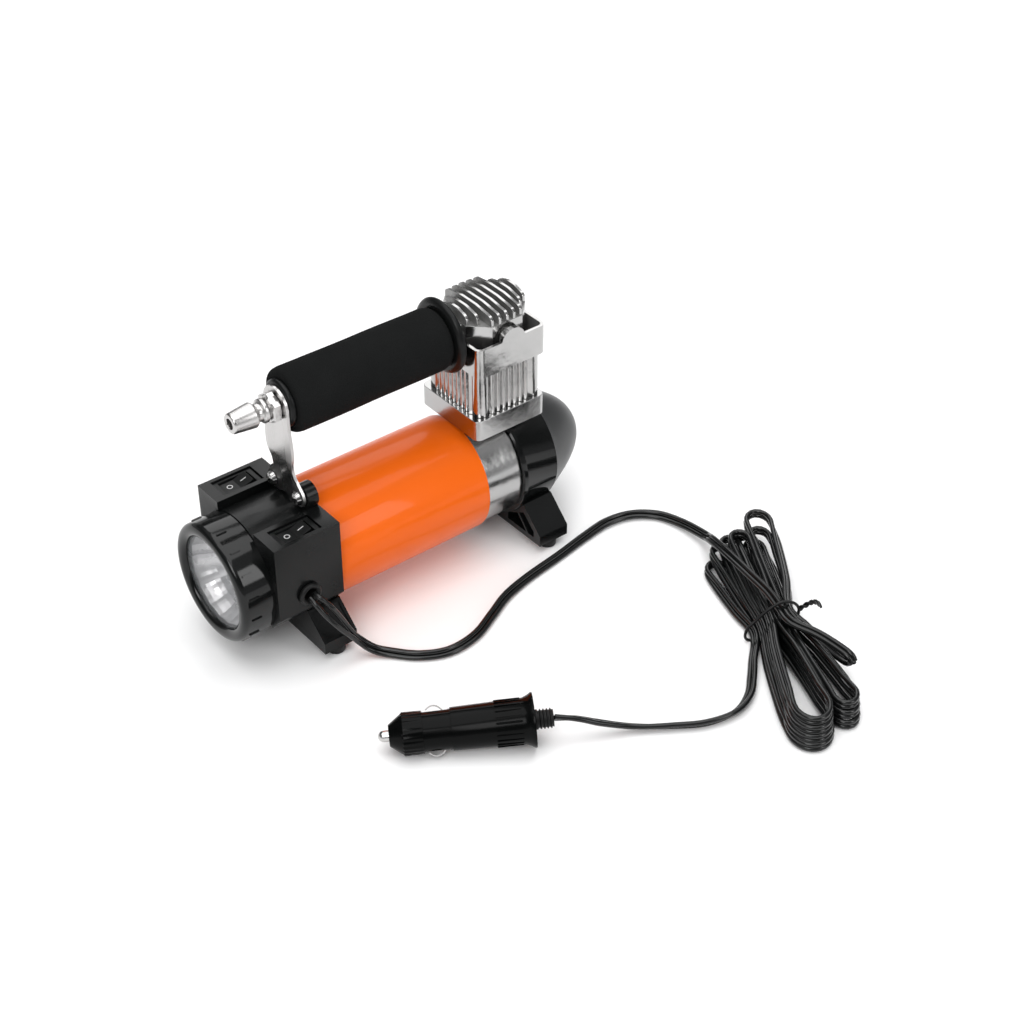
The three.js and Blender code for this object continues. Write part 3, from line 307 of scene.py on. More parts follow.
def eased(points, radius, steps=3, closed=False):
    """The outline with each corner replaced by a short curve."""
    points = [Vector(point) for point in points]
    count = len(points)
    corners = range(count) if closed else range(1, count - 1)
    out = [] if closed else [points[0]]
    for i in corners:
        before, corner, after = points[i - 1], points[i], points[(i + 1) % count]
        reach = min(radius, (before - corner).length * 0.45, (after - corner).length * 0.45)
        start = corner + (before - corner).normalized() * reach
        end = corner + (after - corner).normalized() * reach
        for step in range(steps + 1):
            t = step / steps
            out.append(start * (1 - t) ** 2 + corner * 2 * t * (1 - t) + end * t ** 2)
    return out if closed else out + [points[-1]]


def smooth_by_angle(mesh, degrees=38):
    mesh.shade_smooth()
    mesh.set_sharp_from_angle(angle=math.radians(degrees))


def piece_from(name, bm):
    mesh = bpy.data.meshes.new(name)
    bmesh.ops.recalc_face_normals(bm, faces=bm.faces)
    bm.to_mesh(mesh)
    bm.free()
    smooth_by_angle(mesh)
    piece = bpy.data.objects.new(name, mesh)
    bpy.context.scene.collection.objects.link(piece)
    return piece


def turned(name, outline, centre=ON_MOTOR, axis="x", turns=96, closed=False, shape=None):
    """A lathe piece in millimetres. shape(along, radius, angle) may change the radius."""
    forward, side, up = AXES[axis]
    bm = bmesh.new()
    rings = []
    for along, radius in outline:
        if radius < 1e-6:
            rings.append([bm.verts.new((centre + forward * along) * MM)] * turns)
            continue
        ring = []
        for i in range(turns):
            angle = 2 * math.pi * i / turns
            reach = shape(along, radius, angle) if shape else radius
            spoke = side * math.cos(angle) + up * math.sin(angle)
            ring.append(bm.verts.new((centre + forward * along + spoke * reach) * MM))
        rings.append(ring)
    pairs = list(zip(rings, rings[1:])) + ([(rings[-1], rings[0])] if closed else [])
    for first, second in pairs:
        for i in range(turns):
            j = (i + 1) % turns
            corners = list(dict.fromkeys([first[i], first[j], second[j], second[i]]))
            if len(corners) > 2:
                bm.faces.new(corners)
    return piece_from(name, bm)


def dress(piece, material, body, slot, *nodes):
    piece.data.materials.clear()
    piece.data.materials.append(material)
    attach(piece, body)
    if nodes:
        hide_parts(*nodes)
    return piece


def stand_in(piece, node, material):
    """piece takes the place and the body of one node."""
    return dress(piece, material, BODY_OF[node], SLOT_OF[node], node)


# %% [markdown]
# Cast and moulded boxes are not round, so a lathe can't help. Their solids already have the right
# planes, and what they lack is the small radius that every mould leaves along an edge: it is what
# catches the light. A copy of the solid gets that radius from the Bevel modifier, which looks only at
# sharp edges, after coplanar triangles are merged back into whole faces.

# %% Write the edge-softening tool
def softened(node, material, width, segments=2, degrees=32, name=None):
    bm = bmesh.new()
    bm.from_mesh(frame["nodes"][node].data)
    bmesh.ops.remove_doubles(bm, verts=bm.verts, dist=2e-6)
    bmesh.ops.dissolve_limit(bm, angle_limit=math.radians(1.2), verts=bm.verts, edges=bm.edges)
    piece = piece_from(name or f"{node}_fine", bm)
    bevel = piece.modifiers.new("edge_radius", "BEVEL")
    bevel.width = width * MM
    bevel.segments = segments
    bevel.limit_method = "ANGLE"
    bevel.angle_limit = math.radians(degrees)
    bevel.harden_normals = True
    bevel.use_clamp_overlap = True
    return stand_in(piece, node, material)


# %% [markdown]
# ## The loose lead
#
# The supply lead is a flat twin cord, two insulated wires side by side, 5.4 mm wide. It leaves the
# gland, drops to the ground, swings round the rear of the machine and climbs onto a tied hank. From the
# hank it runs back to the plug. The route below is a list of chosen points, and the hank's turns are
# worked out by a loop from where each turn's two ends lie.

# %% Lay out the lead and the tail
LEAD = [
    (-76.9, -36.5, 40.5), (-76.4, -40, 39.6), (-73, -43.8, 33.5), (-66.5, -46, 22), (-59.5, -48, 11),
    (-53.5, -52.2, 4.6), (-47, -58.5, 2.3), (-38, -68, 2.3), (-25, -74.5, 2.3), (-8, -73.5, 2.3),
    (9, -66, 2.3), (23, -59.3, 2.3), (40, -54.8, 2.3), (65, -50.8, 2.3), (86.5, -46.8, 2.3),
    (104, -44.8, 2.3), (118, -48.2, 2.3), (128.5, -57.3, 2.6), (133.3, -72.2, 3.6), (132.5, -90.6, 6.8),
]
TAIL = [
    (86.1, -173.2, 2.3), (77.5, -181.5, 2.3), (68.5, -189, 2.3), (56, -193.6, 2.3), (40, -191, 2.3),
    (25, -182, 2.3), (10, -171.5, 3.6), (-4, -163.3, 8.2), (-13.5, -157.6, 12.2), (-22.1, -152.07, 13.84),
]
print("chosen route points:", len(LEAD) + len(TAIL))

# %% [markdown]
# A hank is wound round a hand, laid down and tied in the middle. Seen from above it has a fan of round
# ends at each side of the tie. Each end is given as the place of its tip along the hank, its middle
# across it, its height and its half width, and the runs between pass through the tie side by side.

# %% Wind the hank
HANK = {"x": 120, "y": -164, "turn": math.radians(59.2)}
TIE_AT = -5
ON_EDGE, SLANTED, FLAT = 88, 42, 8
CLIMB = [(63.5, 26.7, 10.2), (51.6, 24.2, 13.8), (37, 20.4, 16.6), (22.5, 15.6, 17.8), (7, 9.6, 17.8)]
FAR_TIPS = [
    (77.5, -0.2, 13.2, 6.4), (69, 0.6, 8.6, 5.4), (66, 3.5, 3, 5), (65.5, 8, 8, 5), (62, 12.8, 13.2, 5),
    (64, 17, 8.4, 5), (59.5, 22.5, 7.4, 5.2), (51.5, 26.6, 3, 5.2),
]
NEAR_TIPS = [
    (-72, -9.6, 13, 5.9), (-73.5, -9.6, 8.2, 6.2), (-75, -9.7, 3.1, 6.4), (-83.5, 8.6, 15.9, 8.6),
    (-85, 8.8, 11.6, 9.3), (-86.3, 9, 7.3, 9.8), (-87.5, 9, 3.1, 10.2),
]
SIDE_LOOP = [
    (-15, 4.5, 17.9), (-26, -6.6, 17.6), (-36, -14.6, 16.8), (-40.6, -18.4, 15.4), (-42.3, -20, 13),
    (-40.6, -19, 10.2), (-35, -16.2, 9), (-25.5, -10.4, 10.4), (-14.5, -3.6, 13.8),
]
TIE_DOWN = [
    (6.5, 17.2), (4.2, 11.9), (4.2, 7.4), (4.2, 2.9), (11.7, 11.9), (11.7, 7.4), (15.4, 7.4), (15.4, 2.9),
    (19.1, 2.9),
]
TIE_UP = [
    (1.8, 16.4), (0.5, 11.9), (0.5, 7.4), (0.5, 2.9), (8, 11.9), (8, 7.4), (8, 2.9), (11.7, 2.9),
]


def on_hank(along, across, height):
    c, s = math.cos(HANK["turn"]), math.sin(HANK["turn"])
    return (HANK["x"] + along * c - across * s, HANK["y"] + along * s + across * c, height)


def turn_end(tip, direction, first):
    """Points round one end of the hank. first is the side of the leg that arrives: 1 or -1."""
    along, across, height, half = tip
    points = []
    for i in range(9):
        angle = math.pi * (i / 8 - 0.5)
        ahead = half * 1.3 * (math.cos(angle) - 1)
        points.append((along + direction * ahead, across - first * half * math.sin(angle), height))
    return points


def run_between(start, end, shares, bow=0.0):
    """Points between two places, bowed sideways by bow millimetres in the middle."""
    points = []
    for share in shares:
        along, across, height = (start[k] + (end[k] - start[k]) * share for k in range(3))
        points.append((along, across + bow * math.sin(math.pi * share), height))
    return points


def hank_points():
    """The hank's turns as (point, roll) pairs, from the tie to the tie."""
    out = [((TIE_AT, *TIE_DOWN[0]), FLAT)] + [(point, FLAT) for point in SIDE_LOOP]
    for number, far in enumerate(FAR_TIPS):
        up, down = (TIE_AT, *TIE_UP[number]), (TIE_AT, *TIE_DOWN[number + 1])
        far_end = turn_end(far, 1, -1)
        out += [(point, SLANTED) for point in [up, *run_between(up, far_end[0], (0.35, 0.75), -1.6)]]
        out += [(point, ON_EDGE) for point in far_end]
        out += [(point, SLANTED) for point in [*run_between(far_end[-1], down, (0.25, 0.65), 0.8), down]]
        if number < len(NEAR_TIPS):
            near_end = turn_end(NEAR_TIPS[number], -1, 1)
            next_up = (TIE_AT, *TIE_UP[number + 1])
            out += [(point, SLANTED) for point in run_between(down, near_end[0], (0.35, 0.8), 1.2)]
            out += [(point, ON_EDGE) for point in near_end]
            out += [(point, SLANTED) for point in run_between(near_end[-1], next_up, (0.2, 0.65), -1.2)]
    return [(on_hank(*point), roll) for point, roll in out]


hank = hank_points()
print("points wound into the hank:", len(hank), "in", len(FAR_TIPS), "turns")

# %% [markdown]
# A curve through those points gives the middle line. Every point also carries a roll, the angle by which
# the cord's wide side is tipped up from level, because a flat cord bends easily only across its thin
# side. It stands on edge round each end of the hank, slants where the turns nest together, and turns
# slowly over the floor. The two wires are kept apart just outside the gland, as the real ones are.

# %% Lay the curve through the route
STEP = 2.2
LOWEST = 2.85  # the least height of the cord's middle over the floor


def floor_roll(number):
    return 44 + 20 * math.sin(number * 1.1)


def smooth_line(points, step, values=None):
    """A centripetal curve through the points about one step apart, with values carried along it."""
    points = [Vector(point) for point in points]
    values = values or [0] * len(points)
    ends = [points[0] * 2 - points[1]] + points + [points[-1] * 2 - points[-2]]
    line, carried = [], []
    for n, (p0, p1, p2, p3) in enumerate(zip(ends, ends[1:], ends[2:], ends[3:])):
        k0 = 0.0
        k1 = k0 + (p1 - p0).length ** 0.5
        k2 = k1 + (p2 - p1).length ** 0.5
        k3 = k2 + (p3 - p2).length ** 0.5
        pieces = max(1, round((p2 - p1).length / step))
        for i in range(pieces):
            t = k1 + (k2 - k1) * i / pieces
            a1 = p0.lerp(p1, (t - k0) / (k1 - k0))
            a2 = p1.lerp(p2, (t - k1) / (k2 - k1))
            a3 = p2.lerp(p3, (t - k2) / (k3 - k2))
            b1 = a1.lerp(a2, (t - k0) / (k2 - k0))
            b2 = a2.lerp(a3, (t - k1) / (k3 - k1))
            line.append(b1.lerp(b2, (t - k1) / (k2 - k1)))
            carried.append(values[n] + (values[n + 1] - values[n]) * i / pieces)
    return line + [points[-1]], carried + [values[-1]]


def lengths_along(line):
    total, out = 0.0, [0.0]
    for a, b in zip(line, line[1:]):
        total += (b - a).length
        out.append(total)
    return out


climb = [on_hank(*point) for point in CLIMB]
places = LEAD + climb + [place for place, roll in hank] + TAIL
places = [(x, y, max(z, LOWEST)) for x, y, z in places]
rolls = [floor_roll(n) for n in range(len(LEAD) - 2)] + [44, 40, 34, 26, 18, 12, FLAT]
rolls += [roll for place, roll in hank] + [floor_roll(n + 3) for n in range(len(TAIL))]
route, route_rolls = smooth_line(places, STEP, rolls)
CORD_LENGTH = lengths_along(route)[-1]
print("cord length:", round(CORD_LENGTH), "mm")

# %% Sweep the twin cord
WIRE_RADIUS = 1.35
WIRE_SIDES = 10
JOINED = 1.28
SPLIT_LENGTH = 34


def wires_apart(distance):
    """Half the distance between the two wires, at a distance along the cord from the gland."""
    left = max(0.0, 1 - distance / SPLIT_LENGTH)
    return JOINED + 0.35 * min(1, left * 3) + 3.6 * left * (1 - left)


def twin_cord(name, line, rolls):
    reach = lengths_along(line)
    bm = bmesh.new()
    rings = [[], []]
    side = Vector((0, 1, 0))
    for i, point in enumerate(line):
        ahead = (line[min(i + 1, len(line) - 1)] - line[max(i - 1, 0)]).normalized()
        level = Vector((0, 0, 1)).cross(ahead)
        if level.length > 0.25:
            side = level.normalized()
        over = ahead.cross(side).normalized()
        roll = math.radians(rolls[i])
        wide = side * math.cos(roll) + over * math.sin(roll)
        thin = ahead.cross(wide)
        for wire, sign in enumerate((1, -1)):
            middle = point + wide * sign * wires_apart(reach[i])
            ring = []
            for k in range(WIRE_SIDES):
                angle = 2 * math.pi * k / WIRE_SIDES
                spoke = wide * math.cos(angle) + thin * math.sin(angle)
                ring.append(bm.verts.new((middle + spoke * WIRE_RADIUS) * MM))
            rings[wire].append(ring)
    for wire in rings:
        for first, second in zip(wire, wire[1:]):
            for k in range(WIRE_SIDES):
                j = (k + 1) % WIRE_SIDES
                bm.faces.new((first[k], first[j], second[j], second[k]))
        bm.faces.new(wire[0])
        bm.faces.new(wire[-1])
    return piece_from(name, bm)


cord = twin_cord("twin_cord", route, route_rolls)
dress(cord, cord_skin, BODY_OF["cord_lead"], "cord", "cord_lead", "cord_tail", "cord_hank")
print("cord faces:", len(cord.data.polygons))

# %% [markdown]
# The hank is held by a short length of covered wire, bent round it once and twisted at one side, with
# its two ends left sticking out. A round section swept along one loop is enough for the part that goes
# round, and a second small sweep winds the twisted end.

# %% Tie the hank
def wire_piece(name, points, radius, material, body, slot, sides=10, step=1.2):
    line = smooth_line(points, step)[0]
    bm = bmesh.new()
    rings = []
    over = Vector((0, 0, 1))
    for i, point in enumerate(line):
        ahead = (line[min(i + 1, len(line) - 1)] - line[max(i - 1, 0)]).normalized()
        side = over.cross(ahead)
        if side.length < 0.1:
            side = Vector((1, 0, 0)).cross(ahead)
        side.normalize()
        over = ahead.cross(side)
        rings.append([bm.verts.new((point + (side * math.cos(a) + over * math.sin(a)) * radius) * MM)
                      for a in (2 * math.pi * k / sides for k in range(sides))])
    for first, second in zip(rings, rings[1:]):
        for k in range(sides):
            j = (k + 1) % sides
            bm.faces.new((first[k], first[j], second[j], second[k]))
    bm.faces.new(rings[0])
    bm.faces.new(rings[-1])
    return dress(piece_from(name, bm), material, body, slot)


TIE_ROUND = [
    (-2.5, -3.4, 10), (-2.6, -3.2, 15), (-3, 0, 19), (-3.6, 6, 20.4), (-4.6, 13, 17), (-5.6, 19, 11.6),
    (-6.6, 23, 8), (-7.4, 24.2, 4), (-7, 22.5, 0.9), (-5.5, 12, 0.8), (-4, 0, 0.8), (-3, -3, 2.2),
    (-2.6, -4, 7),
]
tie = wire_piece("hank_tie", [on_hank(*p) for p in TIE_ROUND], 0.75, rubber, BODY_OF["cord_hank"], "rubber")
TIE_TAIL_STEPS = 14


def tie_strand(phase):
    points = []
    for i in range(TIE_TAIL_STEPS):
        share = i / (TIE_TAIL_STEPS - 1)
        angle = phase + share * 5 * math.pi
        along = -2.6 + 4 * share - 2.4 * math.sin(share * 4)
        across = -3.4 - 13 * share
        height = 14 + 6 * math.sin(share * 3.2) - 4 * share
        points.append((along + 0.8 * math.cos(angle), across, height + 0.8 * math.sin(angle)))
    return points


ends = [wire_piece(f"hank_tie_end_{name}", [on_hank(*p) for p in tie_strand(phase)], 0.7, rubber,
                   BODY_OF["cord_hank"], "rubber", step=0.8)
        for name, phase in (("one", 0.0), ("two", math.pi))]
print("tie pieces:", 1 + len(ends))

# %% [markdown]
# ## The lamp
#
# The lamp ring is one polished moulding with a wide rounded lip, and fine moulded grips stand evenly
# round its side. The lens sits a little behind the lip. Behind it the wall of the reflector is pressed
# into narrow flutes, so it is left unsmoothed, while everything around it is smooth.

# %% Turn the lamp ring and its grips
BEZEL_LOW, BEZEL_HIGH = span("lamp_bezel")
RING_RADIUS = (BEZEL_HIGH.z - BEZEL_LOW.z) / 2
LENS_RADIUS = 23.9
LIP_DEPTH = 3.4


def lamp_ring_outline():
    front, rear = BEZEL_LOW.x, BEZEL_HIGH.x
    half = (RING_RADIUS - LENS_RADIUS) / 2
    lip = []
    for i in range(19):
        angle = math.pi * i / 18
        bulge = math.sin(angle) ** 0.85
        lip.append((front + LIP_DEPTH * (1 - bulge), RING_RADIUS - half + half * math.cos(angle)))
    back = [(rear, 27.5), (rear, RING_RADIUS - 0.5), (rear - 0.5, RING_RADIUS)]
    return back + lip + [(front + 2.7, LENS_RADIUS), (front + 2.7, 27.5)]


lamp_ring = turned("lamp_ring", lamp_ring_outline(), turns=128, closed=True)
stand_in(lamp_ring, "lamp_bezel", gloss_black)


def small_bar(bm, half, corner):
    """Add a rounded bar with three half sizes to bm and return its vertices."""
    made = bmesh.ops.create_cube(bm, size=1)["verts"]
    for vert in made:
        vert.co = Vector((vert.co[k] * 2 * half[k] for k in range(3)))
    edges = {edge for vert in made for edge in vert.link_edges}
    out = bmesh.ops.bevel(bm, geom=list(edges), offset=corner, segments=2, affect="EDGES")
    return {vert for face in out["faces"] for vert in face.verts} | {v for v in made if v.is_valid}


def ring_grips():
    bm = bmesh.new()
    count = 16
    for i in range(count):
        verts = small_bar(bm, (2.8 * MM, 0.55 * MM, 0.7 * MM), 0.3 * MM)
        turn = Matrix.Rotation(2 * math.pi * (i + 0.4) / count, 4, "X")
        shift = Matrix.Translation((ON_MOTOR + Vector((BEZEL_LOW.x + 6.9, 0, 0))) * MM)
        lift = Matrix.Translation((0, 0, RING_RADIUS * MM))
        bmesh.ops.transform(bm, matrix=shift @ turn @ lift, verts=list(verts))
    return piece_from("lamp_ring_grips", bm)


dress(ring_grips(), gloss_black, BODY_OF["lamp_bezel"], "gloss_black")
print("lamp ring radius:", round(RING_RADIUS, 1), "mm")

# %% Press the reflector and set the lens
REFLECTOR_LOW, REFLECTOR_HIGH = span("lamp_reflector")


def bowl_outline():
    front, rear = REFLECTOR_LOW.x, REFLECTOR_HIGH.x - 0.2
    inside = []
    for i in range(7):
        along = i / 6
        inside.append((front + (rear - front) * along, 10.5 + 13.2 * math.sqrt(1 - along ** 1.4)))
    outside = [(x + 0.2, radius + 1.2) for x, radius in reversed(inside)]
    return [(front, 26.4)] + inside + outside + [(front + 1.2, 26.4)]


def flute(along, radius, angle):
    """Pressed flutes: every column of the bowl stands a little in or out of its neighbours."""
    if radius > 24.5:
        return radius
    column = round(angle * 36 / math.pi)
    return radius - 0.9 * abs(math.sin(column * 2.4))


bowl = turned("reflector_bowl", bowl_outline(), turns=72, closed=True, shape=flute)
bowl.data.shade_flat()
stand_in(bowl, "lamp_reflector", mirror)
LENS_LOW, LENS_HIGH = span("lamp_lens")
lens_outline = eased([(LENS_LOW.x, 0), (LENS_LOW.x, 26.5), (LENS_HIGH.x, 26.5), (LENS_HIGH.x, 0)], 0.3)
stand_in(turned("clear_lens", lens_outline, turns=96), "lamp_lens", lens_clear)
softened("led_board", board_white, 0.12, degrees=50)
print("lens radius:", round((LENS_HIGH.z - LENS_LOW.z) / 2, 1), "mm")

# %% [markdown]
# ## Housing, switches and bracket
#
# The front housing carries two switch boxes and the first pair of feet. Its solid gets a mould radius
# along every edge. The rocker caps get a smaller one, and each carries the usual ring and bar printed in
# white, set a hair above the surface so that they stay clean at any angle of the rocker.

# %% Soften the housing and the switches
softened("front_housing", housing_black, 0.55, segments=3)
for side in SIDES:
    softened(f"switch_body_{side}", switch_black, 0.25)
    softened(f"rocker_{side}", switch_black, 0.3, segments=3)
ROCKER_PIVOT_X = -77
ROCKER_PIVOT_Z = AXIS_Z + 27.2
ROCKER_TILT = math.radians(-9)
CAP_SLOPE = math.atan2(1.1, 7.4)
CAP_MIDDLE_Z = 2.5


def on_cap(along, side):
    """The frame of a point on a rocker cap's top, from its pivot."""
    centre = sum((span(f"rocker_{side}")[k].y for k in (0, 1))) / 2
    rise = CAP_MIDDLE_Z + abs(along) * math.tan(CAP_SLOPE) + 0.05
    slope = -CAP_SLOPE if along > 0 else CAP_SLOPE
    return (
        Matrix.Translation(Vector((ROCKER_PIVOT_X, centre, ROCKER_PIVOT_Z)) * MM)
        @ Matrix.Rotation(ROCKER_TILT, 4, "Y")
        @ Matrix.Translation(Vector((along, 0, rise)) * MM)
        @ Matrix.Rotation(slope, 4, "Y")
    )


def printed_ring(side):
    bm = bmesh.new()
    rings = [[], []]
    for i in range(36):
        angle = 2 * math.pi * i / 36
        for ring, radius in zip(rings, (1.15, 1.5)):
            ring.append(bm.verts.new(Vector((radius * math.cos(angle), radius * math.sin(angle), 0)) * MM))
    for i in range(36):
        j = (i + 1) % 36
        bm.faces.new((rings[0][i], rings[1][i], rings[1][j], rings[0][j]))
    lift = bmesh.ops.extrude_face_region(bm, geom=bm.faces[:])["geom"]
    sunk = [v for v in lift if isinstance(v, bmesh.types.BMVert)]
    bmesh.ops.translate(bm, vec=(0, 0, -0.08 * MM), verts=sunk)
    bm.transform(on_cap(-3.9, side))
    return piece_from(f"off_mark_{side}", bm)


def printed_bar(side):
    bm = bmesh.new()
    small_bar(bm, (1.7 * MM, 0.2 * MM, 0.04 * MM), 0.02 * MM)
    bm.transform(on_cap(3.9, side))
    return piece_from(f"on_mark_{side}", bm)


for side in SIDES:
    for mark in (printed_ring(side), printed_bar(side)):
        dress(mark, mark_white, BODY_OF[f"rocker_{side}"], "satin_black")
softened("handle_bracket", steel, 0.3, segments=3)
for side in SIDES:
    softened(f"bracket_screw_{side}", chrome, 0.2, segments=2, degrees=40)
print("switches dressed:", len(SIDES))

# %% [markdown]
# ## The handle
#
# The handle is a steel air pipe inside a sleeve of foamed rubber. Foam is soft, so its outline is not
# quite true: the surface swells and sinks by a few tenths of a millimetre along its length, which the
# shape function below adds with smooth noise. A washer and a wide flange hold its ends.

# %% Turn the foam grip and its end pieces
def foam_shape(along, radius, angle):
    if radius < BORE + 1:
        return radius
    around = Vector((along * 0.045, math.cos(angle) * 1.1, math.sin(angle) * 1.1))
    return radius + 0.28 * noise.noise(around) - 0.12


def grip_outline():
    front, rear = GRIP_LOW.x, GRIP_HIGH.x
    radius = (GRIP_HIGH.z - GRIP_LOW.z) / 2
    shoulder = []
    for i in range(9):
        angle = math.pi / 2 * i / 8
        shoulder.append((front + 2.6 * (1 - math.sin(angle)), radius - 2.1 + 2.1 * math.cos(angle) - 0.3))
    shoulder.reverse()
    body = [(front + 4 + (rear - front - 8) * i / 24, radius - 0.1) for i in range(25)]
    end = [(rear - 1.6, radius - 0.7), (rear - 0.5, radius - 1.4), (rear, radius - 2.6)]
    return [(front, BORE), (front, radius - 3.6)] + shoulder + body + end + [(rear, BORE)]


grip = turned("foam_sleeve", grip_outline(), centre=ON_HANDLE, closed=True, shape=foam_shape)
stand_in(grip, "foam_grip", foam)
WASHER_LOW, WASHER_HIGH = span("grip_washer")
washer = eased([
    (WASHER_LOW.x, BORE), (WASHER_LOW.x, 11), (WASHER_LOW.x + 0.8, 11.9), (WASHER_HIGH.x, 12.1),
    (WASHER_HIGH.x, BORE),
], 0.5, closed=True)
stand_in(turned("front_washer", washer, centre=ON_HANDLE, closed=True), "grip_washer", satin_black)
DISC_LOW, DISC_HIGH = span("grip_rear_flange")
disc = eased([
    (DISC_LOW.x, BORE), (DISC_LOW.x, 17.2), (DISC_LOW.x + 1, 19), (DISC_LOW.x + 2.6, 19.8),
    (DISC_HIGH.x, 19.5), (DISC_HIGH.x, BORE),
], 0.6, closed=True)
stand_in(turned("rear_disc", disc, centre=ON_HANDLE, closed=True), "grip_rear_flange", satin_black)
print("foam grip length:", round(GRIP_HIGH.x - GRIP_LOW.x, 1), "mm")

# %% [markdown]
# The nipple is turned from bar and plated: a tapered nose for the hose coupling, a groove for its balls,
# a collar, and a hexagon that clamps the bracket. The round part comes off the lathe tool, and the
# hexagon is a six-sided prism with its corners turned down, as a real nut has.

# %% Turn the nipple and cut its hexagon
NIPPLE_LOW, NIPPLE_HIGH = span("air_nipple")
TIP = NIPPLE_LOW.x
HEX_LENGTH = 4.7
nipple_outline = eased([
    (TIP, 2.7), (TIP, 4.7), (TIP + 0.7, 5.2), (TIP + 10.2, 6.2), (TIP + 12, 6.4), (TIP + 12.8, 5.9),
    (TIP + 13.8, 4.6), (TIP + 16, 4.6), (TIP + 16.8, 6.1), (TIP + 18.6, 6.1), (TIP + 19.2, 5.2),
    (NIPPLE_HIGH.x - 1, 5.2), (NIPPLE_HIGH.x - 1, 2.7),
], 0.4, closed=True)
nipple = turned("push_nipple", nipple_outline, centre=ON_HANDLE, turns=64, closed=True)
stand_in(nipple, "air_nipple", steel)


def hexagon_piece():
    rear = NIPPLE_HIGH.x
    front = rear - HEX_LENGTH
    outline = [(front, BORE), (front, 6.6), (front + 0.7, 8.1), (rear - 0.7, 8.1), (rear, 6.6), (rear, BORE)]

    def six_sided(along, radius, angle):
        if radius < BORE + 0.5:
            return radius
        corner = (angle - math.pi / 6) % (math.pi / 3)
        flat = 7.02 / math.cos(corner - math.pi / 6)
        return min(radius, flat)

    return turned("nipple_hexagon", outline, centre=ON_HANDLE, turns=72, closed=True, shape=six_sided)


dress(hexagon_piece(), steel, BODY_OF["air_nipple"], "chrome")
print("nipple length:", round(NIPPLE_HIGH.x - TIP, 1), "mm")

# %% [markdown]
# ## Sleeve, cylinder and rear end
#
# The sleeve is rolled steel, so it is turned with fine steps and slightly rolled rims. The dome closes
# the rear with a blunt nose whose radius falls away faster and faster, which a power curve follows
# better than a sphere. The castings keep their solids' planes and get a generous edge radius.

# %% Turn the sleeve and the dome
sleeve_outline = eased([
    (SLEEVE_LOW.x, SLEEVE_RADIUS - 1.5), (SLEEVE_LOW.x, SLEEVE_RADIUS), (SLEEVE_HIGH.x, SLEEVE_RADIUS),
    (SLEEVE_HIGH.x, SLEEVE_RADIUS - 1.5),
], 0.4, closed=True)
stand_in(turned("orange_sleeve", sleeve_outline, turns=160, closed=True), "motor_sleeve", enamel)
DOME_LOW, DOME_HIGH = span("dome_cap")


def dome_outline():
    length = DOME_HIGH.x - DOME_LOW.x
    outside = []
    for i in range(33):
        along = 1 - (1 - i / 32) ** 2
        outside.append((DOME_LOW.x + length * along, 30.9 * (1 - along ** 0.9) ** 0.4 if i < 32 else 0))
    return [(DOME_LOW.x, 28.9)] + outside


stand_in(turned("dome_shell", dome_outline(), turns=128), "dome_cap", dome_grey)
print("sleeve radius:", round(SLEEVE_RADIUS, 1), "mm")

# %% Soften the castings and the rear housing
softened("crankcase", dull_chrome, 0.5, segments=3)
head = softened("cylinder_head", chrome, 0.3, segments=2)
head.data.materials.append(rough_cast)
# The pocket round the bolts and the valleys between the fins stay rough, and the rest is plated bright.
TRAY_FLOOR = 116 * MM
CROWN_FLOOR = 136 * MM
FIN_ROOT = CROWN_FLOOR - 3 * MM
HEAD_CENTRE = sum(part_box("cylinder_head"), Vector()).xy / 2
for face in head.data.polygons:
    between_fins = face.center.z > FIN_ROOT and (
        abs(face.normal.x) > 0.9 or (face.normal.z > 0.7 and face.center.z < CROWN_FLOOR))
    tray_floor = face.normal.z > 0.7 and abs(face.center.z - TRAY_FLOOR) < 2 * MM
    inward = (HEAD_CENTRE - face.center.xy).dot(face.normal.xy) > 0
    tray_wall = inward and TRAY_FLOOR < face.center.z < FIN_ROOT
    face.material_index = 1 if between_fins or tray_floor or tray_wall else 0
for number in range(1, 5):
    softened(f"head_bolt_{number}", dark_steel, 0.15)
softened("rear_housing", gloss_black, 0.4, segments=3)
print("castings softened")

# %% [markdown]
# The barrel is cast with upright ribs that cool it. Their solid has plain square ribs. Real cast ribs
# are rounded with a shallow rounded valley between them, so the finer barrel is one closed outline with
# a wave along each side and a round column for the bolt at each corner, drawn up from flange to head.

# %% Cast the ribbed barrel
BARREL_LOW, BARREL_HIGH = span("cylinder_barrel")
HEAD_X = (BARREL_LOW.x + BARREL_HIGH.x) / 2
RIB_PITCH = 3.5
RIB_DEPTH = 1.9


def ribbed_side(half_length, reach):
    """Offsets along one side of the barrel with how far the wave stands out there."""
    steps = 96
    points = []
    for i in range(steps + 1):
        along = -half_length + 2 * half_length * i / steps
        wave = 0.5 + 0.5 * math.cos(2 * math.pi * along / RIB_PITCH)
        points.append((along, reach - RIB_DEPTH * (1 - wave ** 0.6)))
    return points


